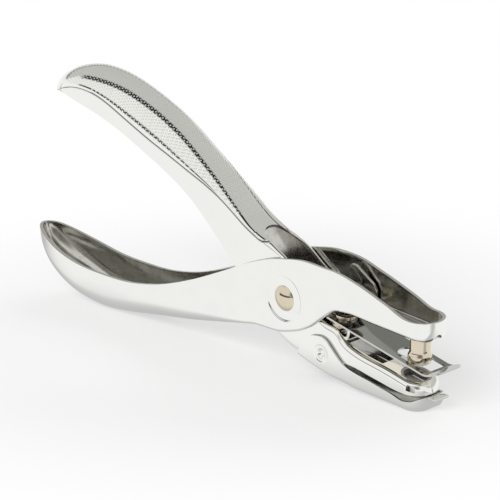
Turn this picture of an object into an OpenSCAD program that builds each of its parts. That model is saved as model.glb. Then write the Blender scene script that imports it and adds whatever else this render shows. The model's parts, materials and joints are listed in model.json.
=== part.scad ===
// Single hole punch: two pressed-sheet levers on one rivet, a punch pin over a die,
// a stripper plate over the paper throat and a hinged tray for the chips.
// Every outline is drawn with the pivot rivet at x = 0, z = 0. The jaws point along +X,
// the rivet lies along Y, and seat() stands the finished piece on its own two feet.

/* [Handles] */
// Pivot to the tip of the lower handle
lower_handle_len = 98; // [92:1:106]
// Pivot to the tip of the upper handle
upper_handle_len = 88.5; // [84:0.5:96]
// Width of the lower handle at the palm
lower_grip_w = 14.8; // [14:0.2:17]
// Width of the upper handle at the palm
upper_grip_w = 14.0; // [13:0.2:16.4]
// Height of the upper handle above the pivot
upper_handle_rise = 45.7; // [42:0.5:50]
// Depth of the lower handle below the pivot
lower_handle_drop = 19.85; // [19:0.05:21]

/* [Sheet] */
// Thickness of the lever sheet
sheet_t = 0.9; // [0.7:0.1:1.1]
// Thickness of the chip tray sheet
tray_t = 0.6; // [0.5:0.1:0.8]
// Thickness of the stripper plate
strip_t = 0.5; // [0.4:0.1:0.7]
// Side gap between the nested cheeks
cheek_gap = 0.3; // [0.2:0.05:0.5]

/* [Jaws] */
// Width over the outer cheeks at the pivot
pivot_w = 13.2; // [12.8:0.1:14.6]
// Width of the upper jaw
jaw_w = 11.2; // [10.8:0.1:12]
// Pivot to the axis of the punch pin
punch_reach = 40.8; // [38:0.2:44]
// Punch axis to the front of the upper nose
nose_reach = 6.4; // [6:0.1:7.5]
// Turn of the levers from rest to the end of the stroke, degrees
open_angle = 8.2; // [7:0.1:9]
// Slope of the upper jaw at rest, degrees
jaw_slope = 4.2; // [3.6:0.1:5]

/* [Punch and die] */
// Diameter of the punched hole
hole_d = 6; // [5:0.1:6.4]
// Diameter of the punch shank
shank_d = 5; // [4.4:0.1:5.2]
// Radial clearance of the punch in the die
die_clearance = 0.2; // [0.18:0.02:0.3]
// How far the punch passes below the die face
punch_overtravel = 2; // [1.6:0.1:2.4]
// Wall of the die bush
die_wall = 0.7; // [0.6:0.05:0.9]
// Height of the die bush below the die face
die_bush_h = 2.2; // [1.6:0.1:2.6]

/* [Stripper plate] */
// Width of the stripper plate
strip_w = 9.6; // [9.2:0.1:10.4]
// Height of the throat between the die face and the stripper plate
throat_h = 3.85; // [3.4:0.05:4.2]
// Punch axis back to the paper stop
throat_depth = 20.4; // [19:0.2:21]
// Side clearance of the punch in the stripper window
window_clearance = 0.35; // [0.25:0.05:0.5]

/* [Pivot and spring] */
// Diameter of the pivot rivet
rivet_d = 4.5; // [4:0.1:5]
// Diameter of the rivet heads
rivet_head_d = 6.8; // [6.2:0.1:7.6]
// Height of the domed rivet heads
rivet_head_h = 1.4; // [1:0.1:1.8]
// Radial running clearance on the pivot rivet
running_clearance = 0.05; // [0.03:0.01:0.08]
// Diameter of the dished bearing pads on the cheeks
dish_d = 12.2; // [11:0.2:13]
// Outer diameter of the spring cup
cup_d = 5.8; // [5.6:0.1:6.2]
// Wall of the spring cup
cup_wall = 0.4; // [0.3:0.05:0.5]
// Height of the spring cup's rim above the stripper plate
cup_rim = 0.7; // [0.4:0.05:0.8]
// Wire diameter of the return spring
wire_d = 0.45; // [0.35:0.05:0.5]
// Radial gap between the return spring and its cup
coil_clearance = 0.175; // [0.1:0.025:0.3]

/* [Chip tray] */
// Side gap between the tray and the die jaw
tray_gap = 0.15; // [0.1:0.05:0.25]
// Diameter of the tray hinge dimples
dimple_d = 2.5; // [2:0.1:3]

/* [Hidden] */
$fn = 64;

chrome = [0.86, 0.87, 0.88];
nickel = [0.83, 0.79, 0.70];
steel = [0.62, 0.63, 0.64];

// Clearances and allowances
touch = 0.01;          // overlap that lets a cutter pass a face
skim = 0.05;           // sheet that a cutter planes off a seat, to leave it flat
seat_gap = 0.4;        // side gap between the spring seat and the upper jaw's walls
stop_gap = 0.3;        // side gap between the paper stop and the slot it was lanced from

// Levers and jaws. u runs along a jaw, v is square to it and up.
die_slope = jaw_slope + open_angle;          // slope of the lower jaw
inner_w = pivot_w - 2*sheet_t - 2*cheek_gap; // width over the inner cheeks
nose_setback = 2.4;                          // lower jaw's front, behind the upper jaw's
upper_nose = punch_reach + nose_reach;       // front of the upper jaw
lower_nose = upper_nose - nose_setback;      // front of the lower jaw
upper_nose_curl = 5.4;                       // lengths over which the two noses round off
lower_nose_curl = 5;
jaw_web = 1.8;                               // underside of the upper jaw's web
punch_len = 7.2;                             // punch tip, below that web
punch_tip = jaw_web - punch_len;
die_face = punch_tip + punch_overtravel;     // die face in the lower jaw's frame
die_reach = punch_reach + 0.1;               // die axis, shifted half of what the punch's arc takes
die_bush_d = hole_d + 2*(die_clearance + die_wall);
arch_x = -10.9;                              // rear end of the opening between the inner cheeks
arch_r = inner_w/2 - sheet_t - 0.05;         // round rear end of that opening
dish_depth = 0.25;                           // depth of the dished bearing pads
spacer_wall = 1.2;                           // wall of the tube on the rivet

// Stripper plate and paper stop
strip_under = die_face + throat_h;           // underside of the stripper plate
strip_rear = 10.4;                           // rear edge of the stripper plate
strip_nose = punch_reach + 6.4;              // front bend of the stripper plate
lip_run = 3.5;                               // stripper lip, forward and up
lip_rise = 2.9;
stop_u = punch_reach - throat_depth;         // front face of the paper stop
stop_half = 3.3;                             // half width of its tab

// Spring, its cup and its seat
post_u = 15.2;                               // spring axis along the jaw
post_seat = -0.9;                            // web level under the cup
cup_floor = 0.5;                             // floor of the cup
cup_h = strip_under + strip_t + cup_rim - post_seat;
collar_d = cup_d + 1.4;                      // collar that carries the stripper plate
rivet_shank_d = 2.2;                         // riveted shanks of the cup and of the spring seat
seat_t = 0.8;                                // sheet of the spring seat
seat_half = jaw_w/2 - sheet_t - seat_gap;
stud_u = 20.4;                               // rivet of the spring seat, along the jaw
coil_d = cup_d - 2*(cup_wall + coil_clearance) - wire_d;
coil_turns = 5;
coil_rings = 8;                              // rings of the tube in one turn
coil_sides = 6;
coil_foot = post_seat + cup_floor;
coil_top = (jaw_web + sheet_t + post_u * sin(open_angle)) / cos(open_angle);
coil_rise = coil_top - coil_foot - wire_d;
coil_steps = coil_turns * coil_rings;

// Chip tray
tray_nose = lower_nose + tray_t + 0.5;       // front of the chip tray
tray_nose_curl = 6;
tray_back = 4.2;                             // back of the hinge ears
tray_half = inner_w/2 + tray_gap + tray_t;
floor_slope = 3.4;
hinge_x = 12.3;
hinge_z = -11.8;
thumb_half = 2.5;                            // half width of the thumb lip
thumb_out = 2.1;                             // how far the lip stands out

// Smooth curve through [x, value] points. The slope at a point is the harmonic mean of the rises
// beside it, and level at a peak, so that a straight stretch stays straight.
function span(p, x, i = 0) = (i >= len(p) - 2 || x < p[i + 1][0]) ? i : span(p, x, i + 1);
function rise(a, b) = (b[1] - a[1]) / (b[0] - a[0]);
function knot_slope(p, i) =
    i == 0 ? rise(p[0], p[1])
    : i == len(p) - 1 ? rise(p[i - 1], p[i])
    : let(a = rise(p[i - 1], p[i]), b = rise(p[i], p[i + 1])) a*b > 0 ? 2*a*b / (a + b) : 0;
function curve(p, x) =
    let(i = span(p, x), h = p[i + 1][0] - p[i][0], t = (x - p[i][0]) / h)
    (2*pow(t, 3) - 3*t*t + 1) * p[i][1] + (pow(t, 3) - 2*t*t + t) * h * knot_slope(p, i)
    + (3*t*t - 2*pow(t, 3)) * p[i + 1][1] + (pow(t, 3) - t*t) * h * knot_slope(p, i + 1);

// Quarter-ellipse that brings a width or a depth to nothing over the last r of a closed end
function fade(d, r) = d >= r ? 1 : sqrt(max(0, d * (2*r - d))) / r;

// Points of a jaw's own frame, u along the jaw and v square to it, turned down by a slope
function jaw_x(slope, u, v) = u * cos(slope) + v * sin(slope);
function jaw_level(slope, x, v) = (v - x * sin(slope)) / cos(slope);

// Places along a handle, as a share of its length from the pivot
function lower(share) = -share * lower_handle_len;
function upper(share) = -share * upper_handle_len;
lower_curl = 0.214 * lower_handle_len; // length over which the end of a handle curls closed
upper_curl = 0.18 * upper_handle_len;

// Outer lever: rim, web, half width and corner radius along x
outer_rim = [[lower(1), -3.2], [lower(0.975), -3.7], [lower(0.94), -4.9], [lower(0.9), -6.2],
             [lower(0.85), -7.4], [lower(0.79), -8.6], [lower(0.72), -9.3], [lower(0.61), -9.4],
             [lower(0.49), -7.8], [lower(0.37), -4.1], [-22, 2.1], [-12, 6.8], [-2, 10.1], [8, 11.6],
             [16, 11.2], [24, 9.4], [34, 6.2], [41, 3.8], [upper_nose, 3.6]];
outer_web = [[lower(1), 4 - lower_handle_drop], [lower(0.91), 3.45 - lower_handle_drop],
             [lower(0.81), 1.5 - lower_handle_drop], [lower(0.7), -lower_handle_drop],
             [lower(0.59), 1.05 - lower_handle_drop], [lower(0.51), -0.887*lower_handle_drop],
             [lower(0.39), -0.797*lower_handle_drop], [lower(0.265), -0.665*lower_handle_drop], [-15, -10.6],
             [-10, -9.8], [-4, -9.8], [3.5, -8.2], [8.6, -5.8], [13.2, -2.2],
             [17.6, jaw_level(jaw_slope, 17.6, jaw_web)], [30, jaw_level(jaw_slope, 30, jaw_web)],
             [upper_nose, jaw_level(jaw_slope, upper_nose, jaw_web)]];
outer_half = [[lower(1), lower_grip_w/2], [lower(0.61), lower_grip_w/2 - 0.1],
              [lower(0.49), lower_grip_w/2 - 0.55], [lower(0.37), pivot_w/2], [13, pivot_w/2],
              [17, pivot_w/2 - 0.45], [22, jaw_w/2 + 0.1], [30, jaw_w/2], [upper_nose, jaw_w/2 - 0.1]];
outer_corner = [[lower(1), 4.6], [lower(0.59), 4.6], [lower(0.31), 3], [-16, 0.35], [16, 0.35],
                [22, 1.5], [upper_nose, 1.7]];

// Inner lever: rim, web, half width and height of the crown along x
inner_rim = [[upper(1), upper_handle_rise - 9.6], [upper(0.93), upper_handle_rise - 7.6],
             [upper(0.86), upper_handle_rise - 8.6], [upper(0.72), upper_handle_rise - 11.5],
             [upper(0.59), 0.646*upper_handle_rise], [upper(0.475), 0.54*upper_handle_rise],
             [upper(0.385), 0.43*upper_handle_rise], [upper(0.305), 0.28*upper_handle_rise],
             [-19.6, 5.1], [-11, -3.1], [-3, -10.4], [4, -13.2], [10, -13.2], [16, -13], [20.7, -12.8],
             [30, -14.2], [38, -15.5], [lower_nose, -15.9]];
inner_web = [[upper(1), upper_handle_rise - 2.4], [upper(0.95), upper_handle_rise - 1.3],
             [upper(0.893), upper_handle_rise - 0.5], [upper(0.814), upper_handle_rise],
             [upper(0.712), upper_handle_rise - 0.9], [upper(0.633), 0.939*upper_handle_rise],
             [upper(0.551), 0.882*upper_handle_rise], [upper(0.486), 0.823*upper_handle_rise],
             [upper(0.424), 0.746*upper_handle_rise], [upper(0.359), 0.659*upper_handle_rise],
             [upper(0.294), 0.569*upper_handle_rise], [upper(0.2305), 0.475*upper_handle_rise],
             [-14.7, 17.4], [-10, 14.9], [-5, 12.6], [-1.4, 10.8], [3.1, 7.5], [6.9, 5], [9, 0.6],
             [10.2, -2.3], [13, jaw_level(die_slope, 13, post_seat) + skim],
             [16.7, jaw_level(die_slope, 16.7, post_seat) + skim], [18.4, -6.5], [20.5, -7.9], [25, -9.3],
             [33, jaw_level(die_slope, 33, die_face) + skim],
             [40, jaw_level(die_slope, 40, die_face) + skim],
             [lower_nose, jaw_level(die_slope, lower_nose, die_face)]];
inner_half = [[upper(1), upper_grip_w/2], [upper(0.565), upper_grip_w/2],
              [upper(0.452), upper_grip_w/2 - 0.4], [upper(0.35), upper_grip_w/2 - 1.1], [-23, inner_w/2],
              [lower_nose, inner_w/2]];
inner_crown = [[upper(1), 4.2], [upper(0.79), 4.8], [upper(0.633), 7.2], [upper(0.531), 7.7],
               [upper(0.43), 6.4], [upper(0.333), 4.2], [upper(0.237), 2.4], [-12, 1.5], [-6, 1.4],
               [-3, 0.35], [9, 0.35], [14, 1.5], [lower_nose, 1.6]];

// Chip tray: rim, corner radius and floor along x, from the back of its hinge ears
tray_rim = [[tray_back, -13.3], [5.7, -10.4], [7.6, -8.4], [9.6, -7.6], [12.2, -7.3], [13.9, -7.8],
            [15.7, -9.4], [17.9, -11.5], [19.8, -12.95], [23, -13.9], [29.3, -15.05], [36, -16.35],
            [40.2, -17.3], [42.4, -17.1], [44.2, -16.3], [tray_nose, -16]];
tray_corner = [[tray_back, 0.5], [13.5, 0.5], [20, 1.3], [tray_nose, 1.4]];
function tray_level(x) = -lower_handle_drop + (43 - x) * tan(floor_slope);
tray_floor = [[tray_back, -14.2], [8, -15.4], [12, -16.5], [16, -17.4], [20, -18.1],
              [24, tray_level(24)], [30, tray_level(30)], [37, tray_level(37)], [43, tray_level(43)],
              [tray_nose, tray_level(43) + 0.5]];

// One cross-section of a pressed channel: down one wall, across the web and up the other.
// side is 1 for a web at the bottom and -1 for a web at the top.
function channel_section(x, half, rim, web, ry, rz, side, steps) = concat(
    [[x, -half, rim]],
    [for (k = [0 : steps]) let(a = 180 + 90*k/steps)
        [x, -half + ry + ry*cos(a), web + side * (rz + rz*sin(a))]],
    [for (k = [0 : steps]) let(a = 270 + 90*k/steps)
        [x, half - ry + ry*cos(a), web + side * (rz + rz*sin(a))]],
    [[x, half, rim]]);

// Stations from one closed end to the other, close together where the end curls round
function end_steps(reach, count) = [for (k = [0 : count - 1]) 0.06 + reach * (1 - cos(90*k/count))];
function stations(x0, reach0, x1, reach1, middle) = concat(
    [for (d = end_steps(reach0, 8)) x0 + d],
    middle,
    [for (k = [6 : -1 : 0]) x1 - end_steps(reach1, 7)[k]]);

// Triangles between two open rows of points, and a fan that closes a convex row
function strip_faces(a, b, n) =
    [for (j = [0 : n - 2]) each [[a + j, a + j + 1, b + j + 1], [a + j, b + j + 1, b + j]]];
function reversed(faces) = [for (f = faces) [f[2], f[1], f[0]]];
function fan(a, n) = [for (j = [1 : n - 2]) [a, a + j, a + j + 1]];

// Pressed channel as one skin of sheet: outer and inner rows of sections, joined along both rims.
// A closed end gets an end wall, and an open end shows the cut edge of the sheet.
module pressed_channel(outer, inner, closed_back = true, side = 1) {
    n = len(outer[0]);
    m = len(outer);
    at_inner = n * m;
    points = concat([for (row = outer) each row], [for (row = inner) each row]);
    skins = [for (k = [0 : m - 2]) each concat(
        strip_faces(k*n, (k + 1)*n, n),
        reversed(strip_faces(at_inner + k*n, at_inner + (k + 1)*n, n)))];
    rims = [for (k = [0 : m - 2])
        let(a = k*n, b = (k + 1)*n, c = a + n - 1, d = b + n - 1)
        each [[a, b, at_inner + b], [a, at_inner + b, at_inner + a],
              [c, at_inner + d, d], [c, at_inner + c, at_inner + d]]];
    tip = (m - 1)*n;
    front = concat(
        fan(tip, n), reversed(fan(at_inner + tip, n)),
        [[tip, tip + n - 1, at_inner + tip + n - 1], [tip, at_inner + tip + n - 1, at_inner + tip]]);
    back = closed_back
        ? concat(reversed(fan(0, n)), fan(at_inner, n),
                 [[0, at_inner + n - 1, n - 1], [0, at_inner, at_inner + n - 1]])
        : reversed(strip_faces(0, at_inner, n));
    faces = concat(skins, rims, front, back);
    polyhedron(points, side > 0 ? reversed(faces) : faces, convexity = 8);
}

// Stand a piece on the feet of the lower handle and the chip tray
strip_lip_x = jaw_x(die_slope, strip_nose + lip_run, strip_under + lip_rise);
module seat() {
    translate([(lower_handle_len - max(upper_nose, strip_lip_x)) / 2, 0, lower_handle_drop]) children();
}
module in_jaw(slope, u = 0, v = 0) {
    rotate([0, slope, 0]) translate([u, 0, v]) children();
}
module across(d, w) {
    rotate([90, 0, 0]) cylinder(d = d, h = w, center = true);
}

// Block between the walls of a lever, as wide as the gap between them
module between_walls(half, t, x0, x1, z0, z1) {
    steps = 8;
    xs = [for (k = [0 : steps]) x0 + (x1 - x0)*k/steps];
    translate([0, 0, z0]) linear_extrude(z1 - z0) polygon(concat(
        [for (x = xs) [x, curve(half, x) - t]],
        [for (k = [steps : -1 : 0]) [xs[k], t - curve(half, xs[k])]]));
}

// Thickness that a sheet sloping by the rise of its web takes up, measured upright
function upright(t, web, x) = t / cos(atan(curve(web, x + 0.5) - curve(web, x - 0.5)));

// Place along a lever of the section that the skin at depth t shows at station x: the curls at both
// ends shrink by the sheet, so that the end walls are as thick as the rest
function inset(x, t, x0, reach0, x1, reach1) =
    x < x0 + reach0 ? x0 + t + (x - x0) * (reach0 - t) / reach0
    : x > x1 - reach1 ? x1 - t - (x1 - x) * (reach1 - t) / reach1 : x;

outer_xs = stations(-lower_handle_len, lower_curl, upper_nose, upper_nose_curl, concat(
    [for (share = [0.765, 0.725, 0.69, 0.63, 0.56, 0.49, 0.43, 0.37, 0.31, 0.26]) lower(share)],
    [-20, -16, -13, -8, -4, 0, 3.5, 6, 8.6, 11, 13.2, 15, 17, 19, 21.5, 26, 32, 37, 40]));
function outer_row(x, t) =
    let(xi = inset(x, t, -lower_handle_len, lower_curl, upper_nose, upper_nose_curl),
        db = xi + lower_handle_len - t,
        df = upper_nose - t - xi,
        low = 1.9,
        rim = curve(outer_rim, xi),
        web = curve(outer_web, xi) + upright(t, outer_web, xi),
        depth = (rim - web) * fade(db, lower_curl + 1 - t) * fade(df, low),
        half = (curve(outer_half, xi) - t) * fade(db, lower_curl - t) * fade(df, upper_nose_curl + 0.1 - t),
        r = min(max(curve(outer_corner, xi) - t, 0.05), 0.95*half, 0.95*depth))
    channel_section(xi, half, rim, rim - depth, r, r, 1, 5);

// Outer lever: lower handle, outer cheeks and upper jaw, pressed from one sheet
module outer_lever() {
    // The web is open from behind the rivet to the root of the jaw, for the inner lever and the spring
    open_rear = -14;
    open_front = 18.4;
    open_top = 3.2;
    color(chrome) seat() difference() {
        pressed_channel([for (x = outer_xs) outer_row(x, 0)], [for (x = outer_xs) outer_row(x, sheet_t)]);
        between_walls(outer_half, sheet_t, open_rear, open_front, open_rear, open_top);
        across(rivet_d + 2*touch, pivot_w + 2);
        for (side = [-1, 1]) translate([0, side * (pivot_w/2 - dish_depth + 1), 0]) across(dish_d, 2);
        in_jaw(jaw_slope, punch_reach, jaw_web) cylinder(d = shank_d, h = 3*sheet_t, center = true);
        in_jaw(jaw_slope, stud_u, jaw_web) cylinder(d = rivet_shank_d, h = 3*sheet_t, center = true);
        in_jaw(jaw_slope, 17, jaw_web + sheet_t) translate([0, -seat_half, 0]) cube([5.4, 2*seat_half, 1]);
        nose_notch();
    }
}

// Arched notch in the lower edge of the upper nose
module nose_notch() {
    in_jaw(jaw_slope, upper_nose - 2.2, jaw_web) rotate([0, 90, 0]) cylinder(d = 2.6, h = 6);
}

// The top of the inner lever rounds over from wall to wall at the grip and narrows to a plain bend
// at the jaw: ry is the width of that round and rz its height.
inner_xs = stations(-upper_handle_len, upper_curl, lower_nose, lower_nose_curl, concat(
    [for (share = [0.8, 0.745, 0.69, 0.62, 0.555, 0.485, 0.43, 0.385, 0.345, 0.305, 0.26]) upper(share)],
    [-18, -14, -11, -8, -6, -4.5, -3, 0, 3, 5, 7, 8.4, 9.6, 10.6, 13, 16.2, 17.2, 18.2, 20, 22, 25, 29,
     33, 36.5, 39.5]));
function inner_row(x, t) =
    let(xi = inset(x, t, -upper_handle_len, upper_curl, lower_nose, lower_nose_curl),
        db = xi + upper_handle_len - t,
        df = lower_nose - t - xi,
        low = 1.8,
        rim = curve(inner_rim, xi),
        web = curve(inner_web, xi) - upright(t, inner_web, xi),
        depth = (web - rim) * fade(db, upper_curl - t) * fade(df, low),
        half = (curve(inner_half, xi) - t) * fade(db, upper_curl - t) * fade(df, lower_nose_curl + 0.2 - t),
        crown = curve(inner_crown, xi),
        spread = max(0.25, min(1, (-8 - xi) / 23)),
        ry = min(max(crown < 1 ? crown - t : spread * half, 0.05), 0.98*half),
        rz = min(max(crown - t, 0.05), 0.9*depth))
    channel_section(xi, half, rim, rim + depth, ry, rz, -1, 8);

// Inner lever: upper handle, inner cheeks and lower jaw, pressed from one sheet
module inner_lever() {
    // The web is open between the cheeks, where the outer lever's web passes
    arch_front = 10;
    arch_foot = -6;
    arch_h = 30;
    color(chrome) seat() difference() {
        union() {
            difference() {
                pressed_channel([for (x = inner_xs) inner_row(x, 0)],
                                [for (x = inner_xs) inner_row(x, sheet_t)], side = -1);
                throat_opening();
            }
            paper_stop();
        }
        between_walls(inner_half, sheet_t, arch_x + arch_r, arch_front, arch_foot, arch_foot + arch_h);
        translate([arch_x + arch_r, 0, arch_foot]) cylinder(r = arch_r, h = arch_h);
        across(rivet_d + 2*running_clearance, pivot_w);
        flat_seat(arch_front, 7.1, post_seat);
        flat_seat(33.5, 20, die_face);
        in_jaw(die_slope, die_reach, die_face) cylinder(d = die_bush_d, h = 4*sheet_t, center = true);
        in_jaw(die_slope, post_u, post_seat) cylinder(d = rivet_shank_d, h = 4*sheet_t, center = true);
        translate([hinge_x, 0, hinge_z]) across(dimple_d + 2*running_clearance, pivot_w);
        corner_relief();
    }
}

// Cutter that planes the lower jaw's web flat, from u along len, at the level v
module flat_seat(u, len, v) {
    in_jaw(die_slope, u, v) translate([0, -inner_w, 0]) cube([len, 2*inner_w, 6]);
}

// Opening in the lower web, where the tab of the paper stop is lanced out and bent up
module throat_opening() {
    half = stop_half + stop_gap;
    len = 13;
    in_jaw(die_slope, stop_u - sheet_t/2, die_face - 4) translate([0, -half, 0]) cube([len, 2*half, 8]);
}

// Tab that stops the paper: up from the web to the underside of the stripper plate
module paper_stop() {
    tab_h = 3.7;
    in_jaw(die_slope, stop_u - sheet_t, strip_under - tab_h)
        translate([0, -stop_half, 0]) cube([sheet_t, 2*stop_half, tab_h]);
}

// Slits at the front corners, where the folded nose meets the side walls
module corner_relief() {
    slit = [6.2, 5, 1.5];
    in_jaw(die_slope, punch_reach + 5, die_face - 1.4)
        for (side = [-1, 1]) translate([0, side * (inner_w/2 + 0.5), 0]) cube(slit, center = true);
}

// Pivot rivet: a shank through all four cheeks, with a head on each dished pad
module pivot_rivet() {
    length = pivot_w - 2*dish_depth;
    color(nickel) seat() rotate([90, 0, 0]) union() {
        cylinder(d = rivet_d, h = length, center = true);
        for (side = [0, 1]) mirror([0, 0, side]) translate([0, 0, length/2]) rivet_head();
    }
}

// Domed head, its flat face down
module rivet_head() {
    ball_r = (pow(rivet_head_d/2, 2) + pow(rivet_head_h, 2)) / (2*rivet_head_h);
    rotate_extrude() intersection() {
        translate([0, rivet_head_h - ball_r]) circle(r = ball_r, $fn = 96);
        square([rivet_head_d, rivet_head_h]);
    }
}

// Tube on the rivet, which keeps the inner cheeks apart
module pivot_spacer() {
    color(steel) seat() rotate([90, 0, 0]) difference() {
        cylinder(d = rivet_d + 2*spacer_wall, h = inner_w - 2*sheet_t, center = true);
        cylinder(d = rivet_d + 2*running_clearance, h = inner_w, center = true);
    }
}

// Punch pin: hollow-ground cutting head, shoulder under the jaw and neck riveted over inside it
module punch_pin() {
    head_h = 2.6;
    shoulder_r = shank_d/2 + 0.35;
    inside = punch_len + sheet_t;
    color(nickel) seat() in_jaw(jaw_slope, punch_reach, punch_tip) rotate_extrude() polygon([
        [0, 0.5], [hole_d/2 - 0.9, 0.15], [hole_d/2 - 0.15, 0], [hole_d/2, 0.15], [hole_d/2, head_h],
        [shoulder_r, head_h + 0.9], [shoulder_r, punch_len], [shank_d/2, punch_len], [shank_d/2, inside],
        [shank_d/2 + 0.7, inside], [shank_d/2 + 0.2, inside + 0.9], [0, inside + 1]]);
}

// Ring pressed into the lower jaw, flush with the die face
module die_bush() {
    color(steel) seat() in_jaw(die_slope, die_reach, die_face) difference() {
        translate([0, 0, -die_bush_h]) cylinder(d = die_bush_d, h = die_bush_h);
        translate([0, 0, -die_bush_h - 1]) cylinder(d = hole_d + 2*die_clearance, h = die_bush_h + 2);
    }
}

// Stripper plate: a flat spring on the cup, with a long window for the punch, round at its rear end,
// and an upturned lip with cut corners
module stripper_plate() {
    window = hole_d + 2*window_clearance;
    window_len = 2*window - 1.4;
    corner_cut = 2.6;
    color(chrome) seat() in_jaw(die_slope) difference() {
        rotate([90, 0, 0]) linear_extrude(strip_w, center = true) polygon([
            [strip_rear, strip_under], [strip_nose, strip_under],
            [strip_nose + lip_run, strip_under + lip_rise],
            [strip_nose + lip_run - 0.4, strip_under + lip_rise + 0.35],
            [strip_nose - 0.2, strip_under + strip_t], [strip_rear, strip_under + strip_t]]);
        translate([punch_reach + (window - window_len) / 2, 0, strip_under - 1]) {
            cylinder(d = window, h = 3);
            translate([0, -window/2, 0]) cube([window_len - window/2, window, 3]);
        }
        translate([post_u, 0, strip_under - 1]) cylinder(d = cup_d + 2*running_clearance, h = 3);
        for (side = [-1, 1]) translate([strip_nose + lip_run, side * strip_w/2, strip_under + 1])
            rotate([0, 0, 45]) cube([corner_cut, corner_cut, 5], center = true);
    }
}

// Spring cup: open barrel through the stripper plate, a collar below it, riveted to the lower jaw's web
module spring_cup() {
    color(nickel) seat() in_jaw(die_slope, post_u, post_seat) difference() {
        union() {
            cylinder(d = cup_d, h = cup_h);
            cylinder(d = collar_d, h = strip_under - post_seat);
            translate([0, 0, -sheet_t]) cylinder(d = rivet_shank_d, h = sheet_t + touch);
            translate([0, 0, -sheet_t - 0.6]) cylinder(d = rivet_shank_d + 1, h = 0.6);
        }
        translate([0, 0, cup_floor]) cylinder(d = cup_d - 2*cup_wall, h = cup_h);
    }
}

// Return spring: one unbroken tube along a helix, from the cup's floor to the spring seat
function coil_point(k) =
    let(a = 360*k/coil_rings)
    [coil_d/2 * cos(a), coil_d/2 * sin(a), wire_d/2 + coil_rise * k/coil_steps];
function coil_ring(k) =
    let(a = 360*k/coil_rings, c = coil_point(k), lean = atan(coil_rise / coil_turns / (PI*coil_d)))
    [for (j = [0 : coil_sides - 1]) let(b = 360*j/coil_sides, out = wire_d/2 * cos(b), up = wire_d/2 * sin(b))
        c + [out*cos(a) + up*sin(lean)*sin(a), out*sin(a) - up*sin(lean)*cos(a), up*cos(lean)]];
coil_gap = min([for (k = [0 : coil_steps - coil_rings])
    norm(coil_point(k + coil_rings) - coil_point(k))]) - wire_d;
echo("least gap between the turns of the return spring, mm:", coil_gap);
module return_spring() {
    n = coil_sides;
    last = n * coil_steps;
    points = [for (k = [0 : coil_steps]) each coil_ring(k)];
    walls = [for (k = [0 : coil_steps - 1], j = [0 : n - 1]) each let(a = k*n, b = (k + 1)*n, i = (j + 1) % n)
        [[a + j, b + j, b + i], [a + j, b + i, a + i]]];
    ends = [[for (j = [0 : n - 1]) j], [for (j = [n - 1 : -1 : 0]) last + j]];
    color(steel) seat() in_jaw(die_slope, post_u, coil_foot)
        polyhedron(points, concat(walls, ends), convexity = 10);
}

// Spring seat: a base on the upper jaw's web with two ears, reaching back over the spring
module spring_seat() {
    base = jaw_web + sheet_t;
    ear = [[12.6, base], [12.6, 9.7], [13.6, 11.1], [15, 11.1], [21, 7.9], [22.2, 6.3], [22.2, base]];
    color(chrome) seat() in_jaw(jaw_slope) difference() {
        union() {
            translate([10.4, -seat_half, base]) cube([11.8, 2*seat_half, seat_t]);
            for (side = [-1, 1]) translate([0, side * (seat_half - seat_t/2), 0])
                rotate([90, 0, 0]) linear_extrude(seat_t, center = true) polygon(ear);
        }
        translate([stud_u, 0, base - 1]) cylinder(d = rivet_shank_d, h = 3);
    }
}

// Rivet of the spring seat, through the upper jaw's web
module seat_rivet() {
    grip = sheet_t + seat_t;
    color(nickel) seat() in_jaw(jaw_slope, stud_u, jaw_web) union() {
        cylinder(d = rivet_shank_d, h = grip);
        translate([0, 0, grip]) cylinder(d = rivet_shank_d + 1.6, h = 0.7);
        translate([0, 0, -0.5]) cylinder(d = rivet_shank_d + 1.2, h = 0.5);
    }
}

tray_xs = concat(
    [tray_back, 5, 5.8, 6.8, 8, 9.6, 11, 12.4, 14, 15, 16, 17.4, 18.8, 20, 22, 26, 30, 34, 38, 41],
    [for (k = [7 : -1 : 0]) tray_nose - end_steps(tray_nose_curl, 8)[k]]);
function tray_row(x, t) =
    let(xi = inset(x, t, tray_back, 0, tray_nose, tray_nose_curl),
        df = tray_nose - t - xi,
        low = 1.6,
        rim = curve(tray_rim, xi),
        web = min(curve(tray_floor, xi) + t, rim - 0.05),
        depth = (rim - web) * fade(df, low),
        half = (tray_half - t) * fade(df, tray_nose_curl - t),
        r = min(max(curve(tray_corner, xi) - t, 0.05), 0.9*half, 0.9*depth))
    channel_section(xi, half, rim, rim - depth, r, r, 1, 5);

// Chip tray: pressed floor and walls, hinge ears with inward dimples and a thumb lip at the nose.
// The floor is cut away behind the hinge, so that the tray can swing down.
module chip_tray() {
    pin = tray_t/2 + tray_gap + sheet_t;
    floor_cut = hinge_x + 1.2;
    pit_d = 1.7;
    color(chrome) seat() difference() {
        union() {
            pressed_channel([for (x = tray_xs) tray_row(x, 0)],
                            [for (x = tray_xs) tray_row(x, tray_t)], closed_back = false);
            for (side = [-1, 1]) translate([hinge_x, side * (tray_half - tray_t/2 - pin/2), hinge_z])
                across(dimple_d, pin);
            translate([tray_nose - 0.5, 0, curve(tray_rim, tray_nose) - tray_t]) linear_extrude(tray_t)
                polygon([[0, -thumb_half], [thumb_out - 0.5, -thumb_half], [thumb_out, 0.5 - thumb_half],
                         [thumb_out, thumb_half - 0.5], [thumb_out - 0.5, thumb_half], [0, thumb_half]]);
        }
        translate([0, tray_t - tray_half, -20]) cube([floor_cut, 2*(tray_half - tray_t), 8]);
        for (side = [-1, 1]) translate([hinge_x, side * (tray_half + 0.3), hinge_z]) across(pit_d, 1.6);
    }
}

outer_lever();
inner_lever();
pivot_rivet();
pivot_spacer();
punch_pin();
die_bush();
stripper_plate();
spring_cup();
return_spring();
spring_seat();
seat_rivet();
chip_tray();
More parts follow.
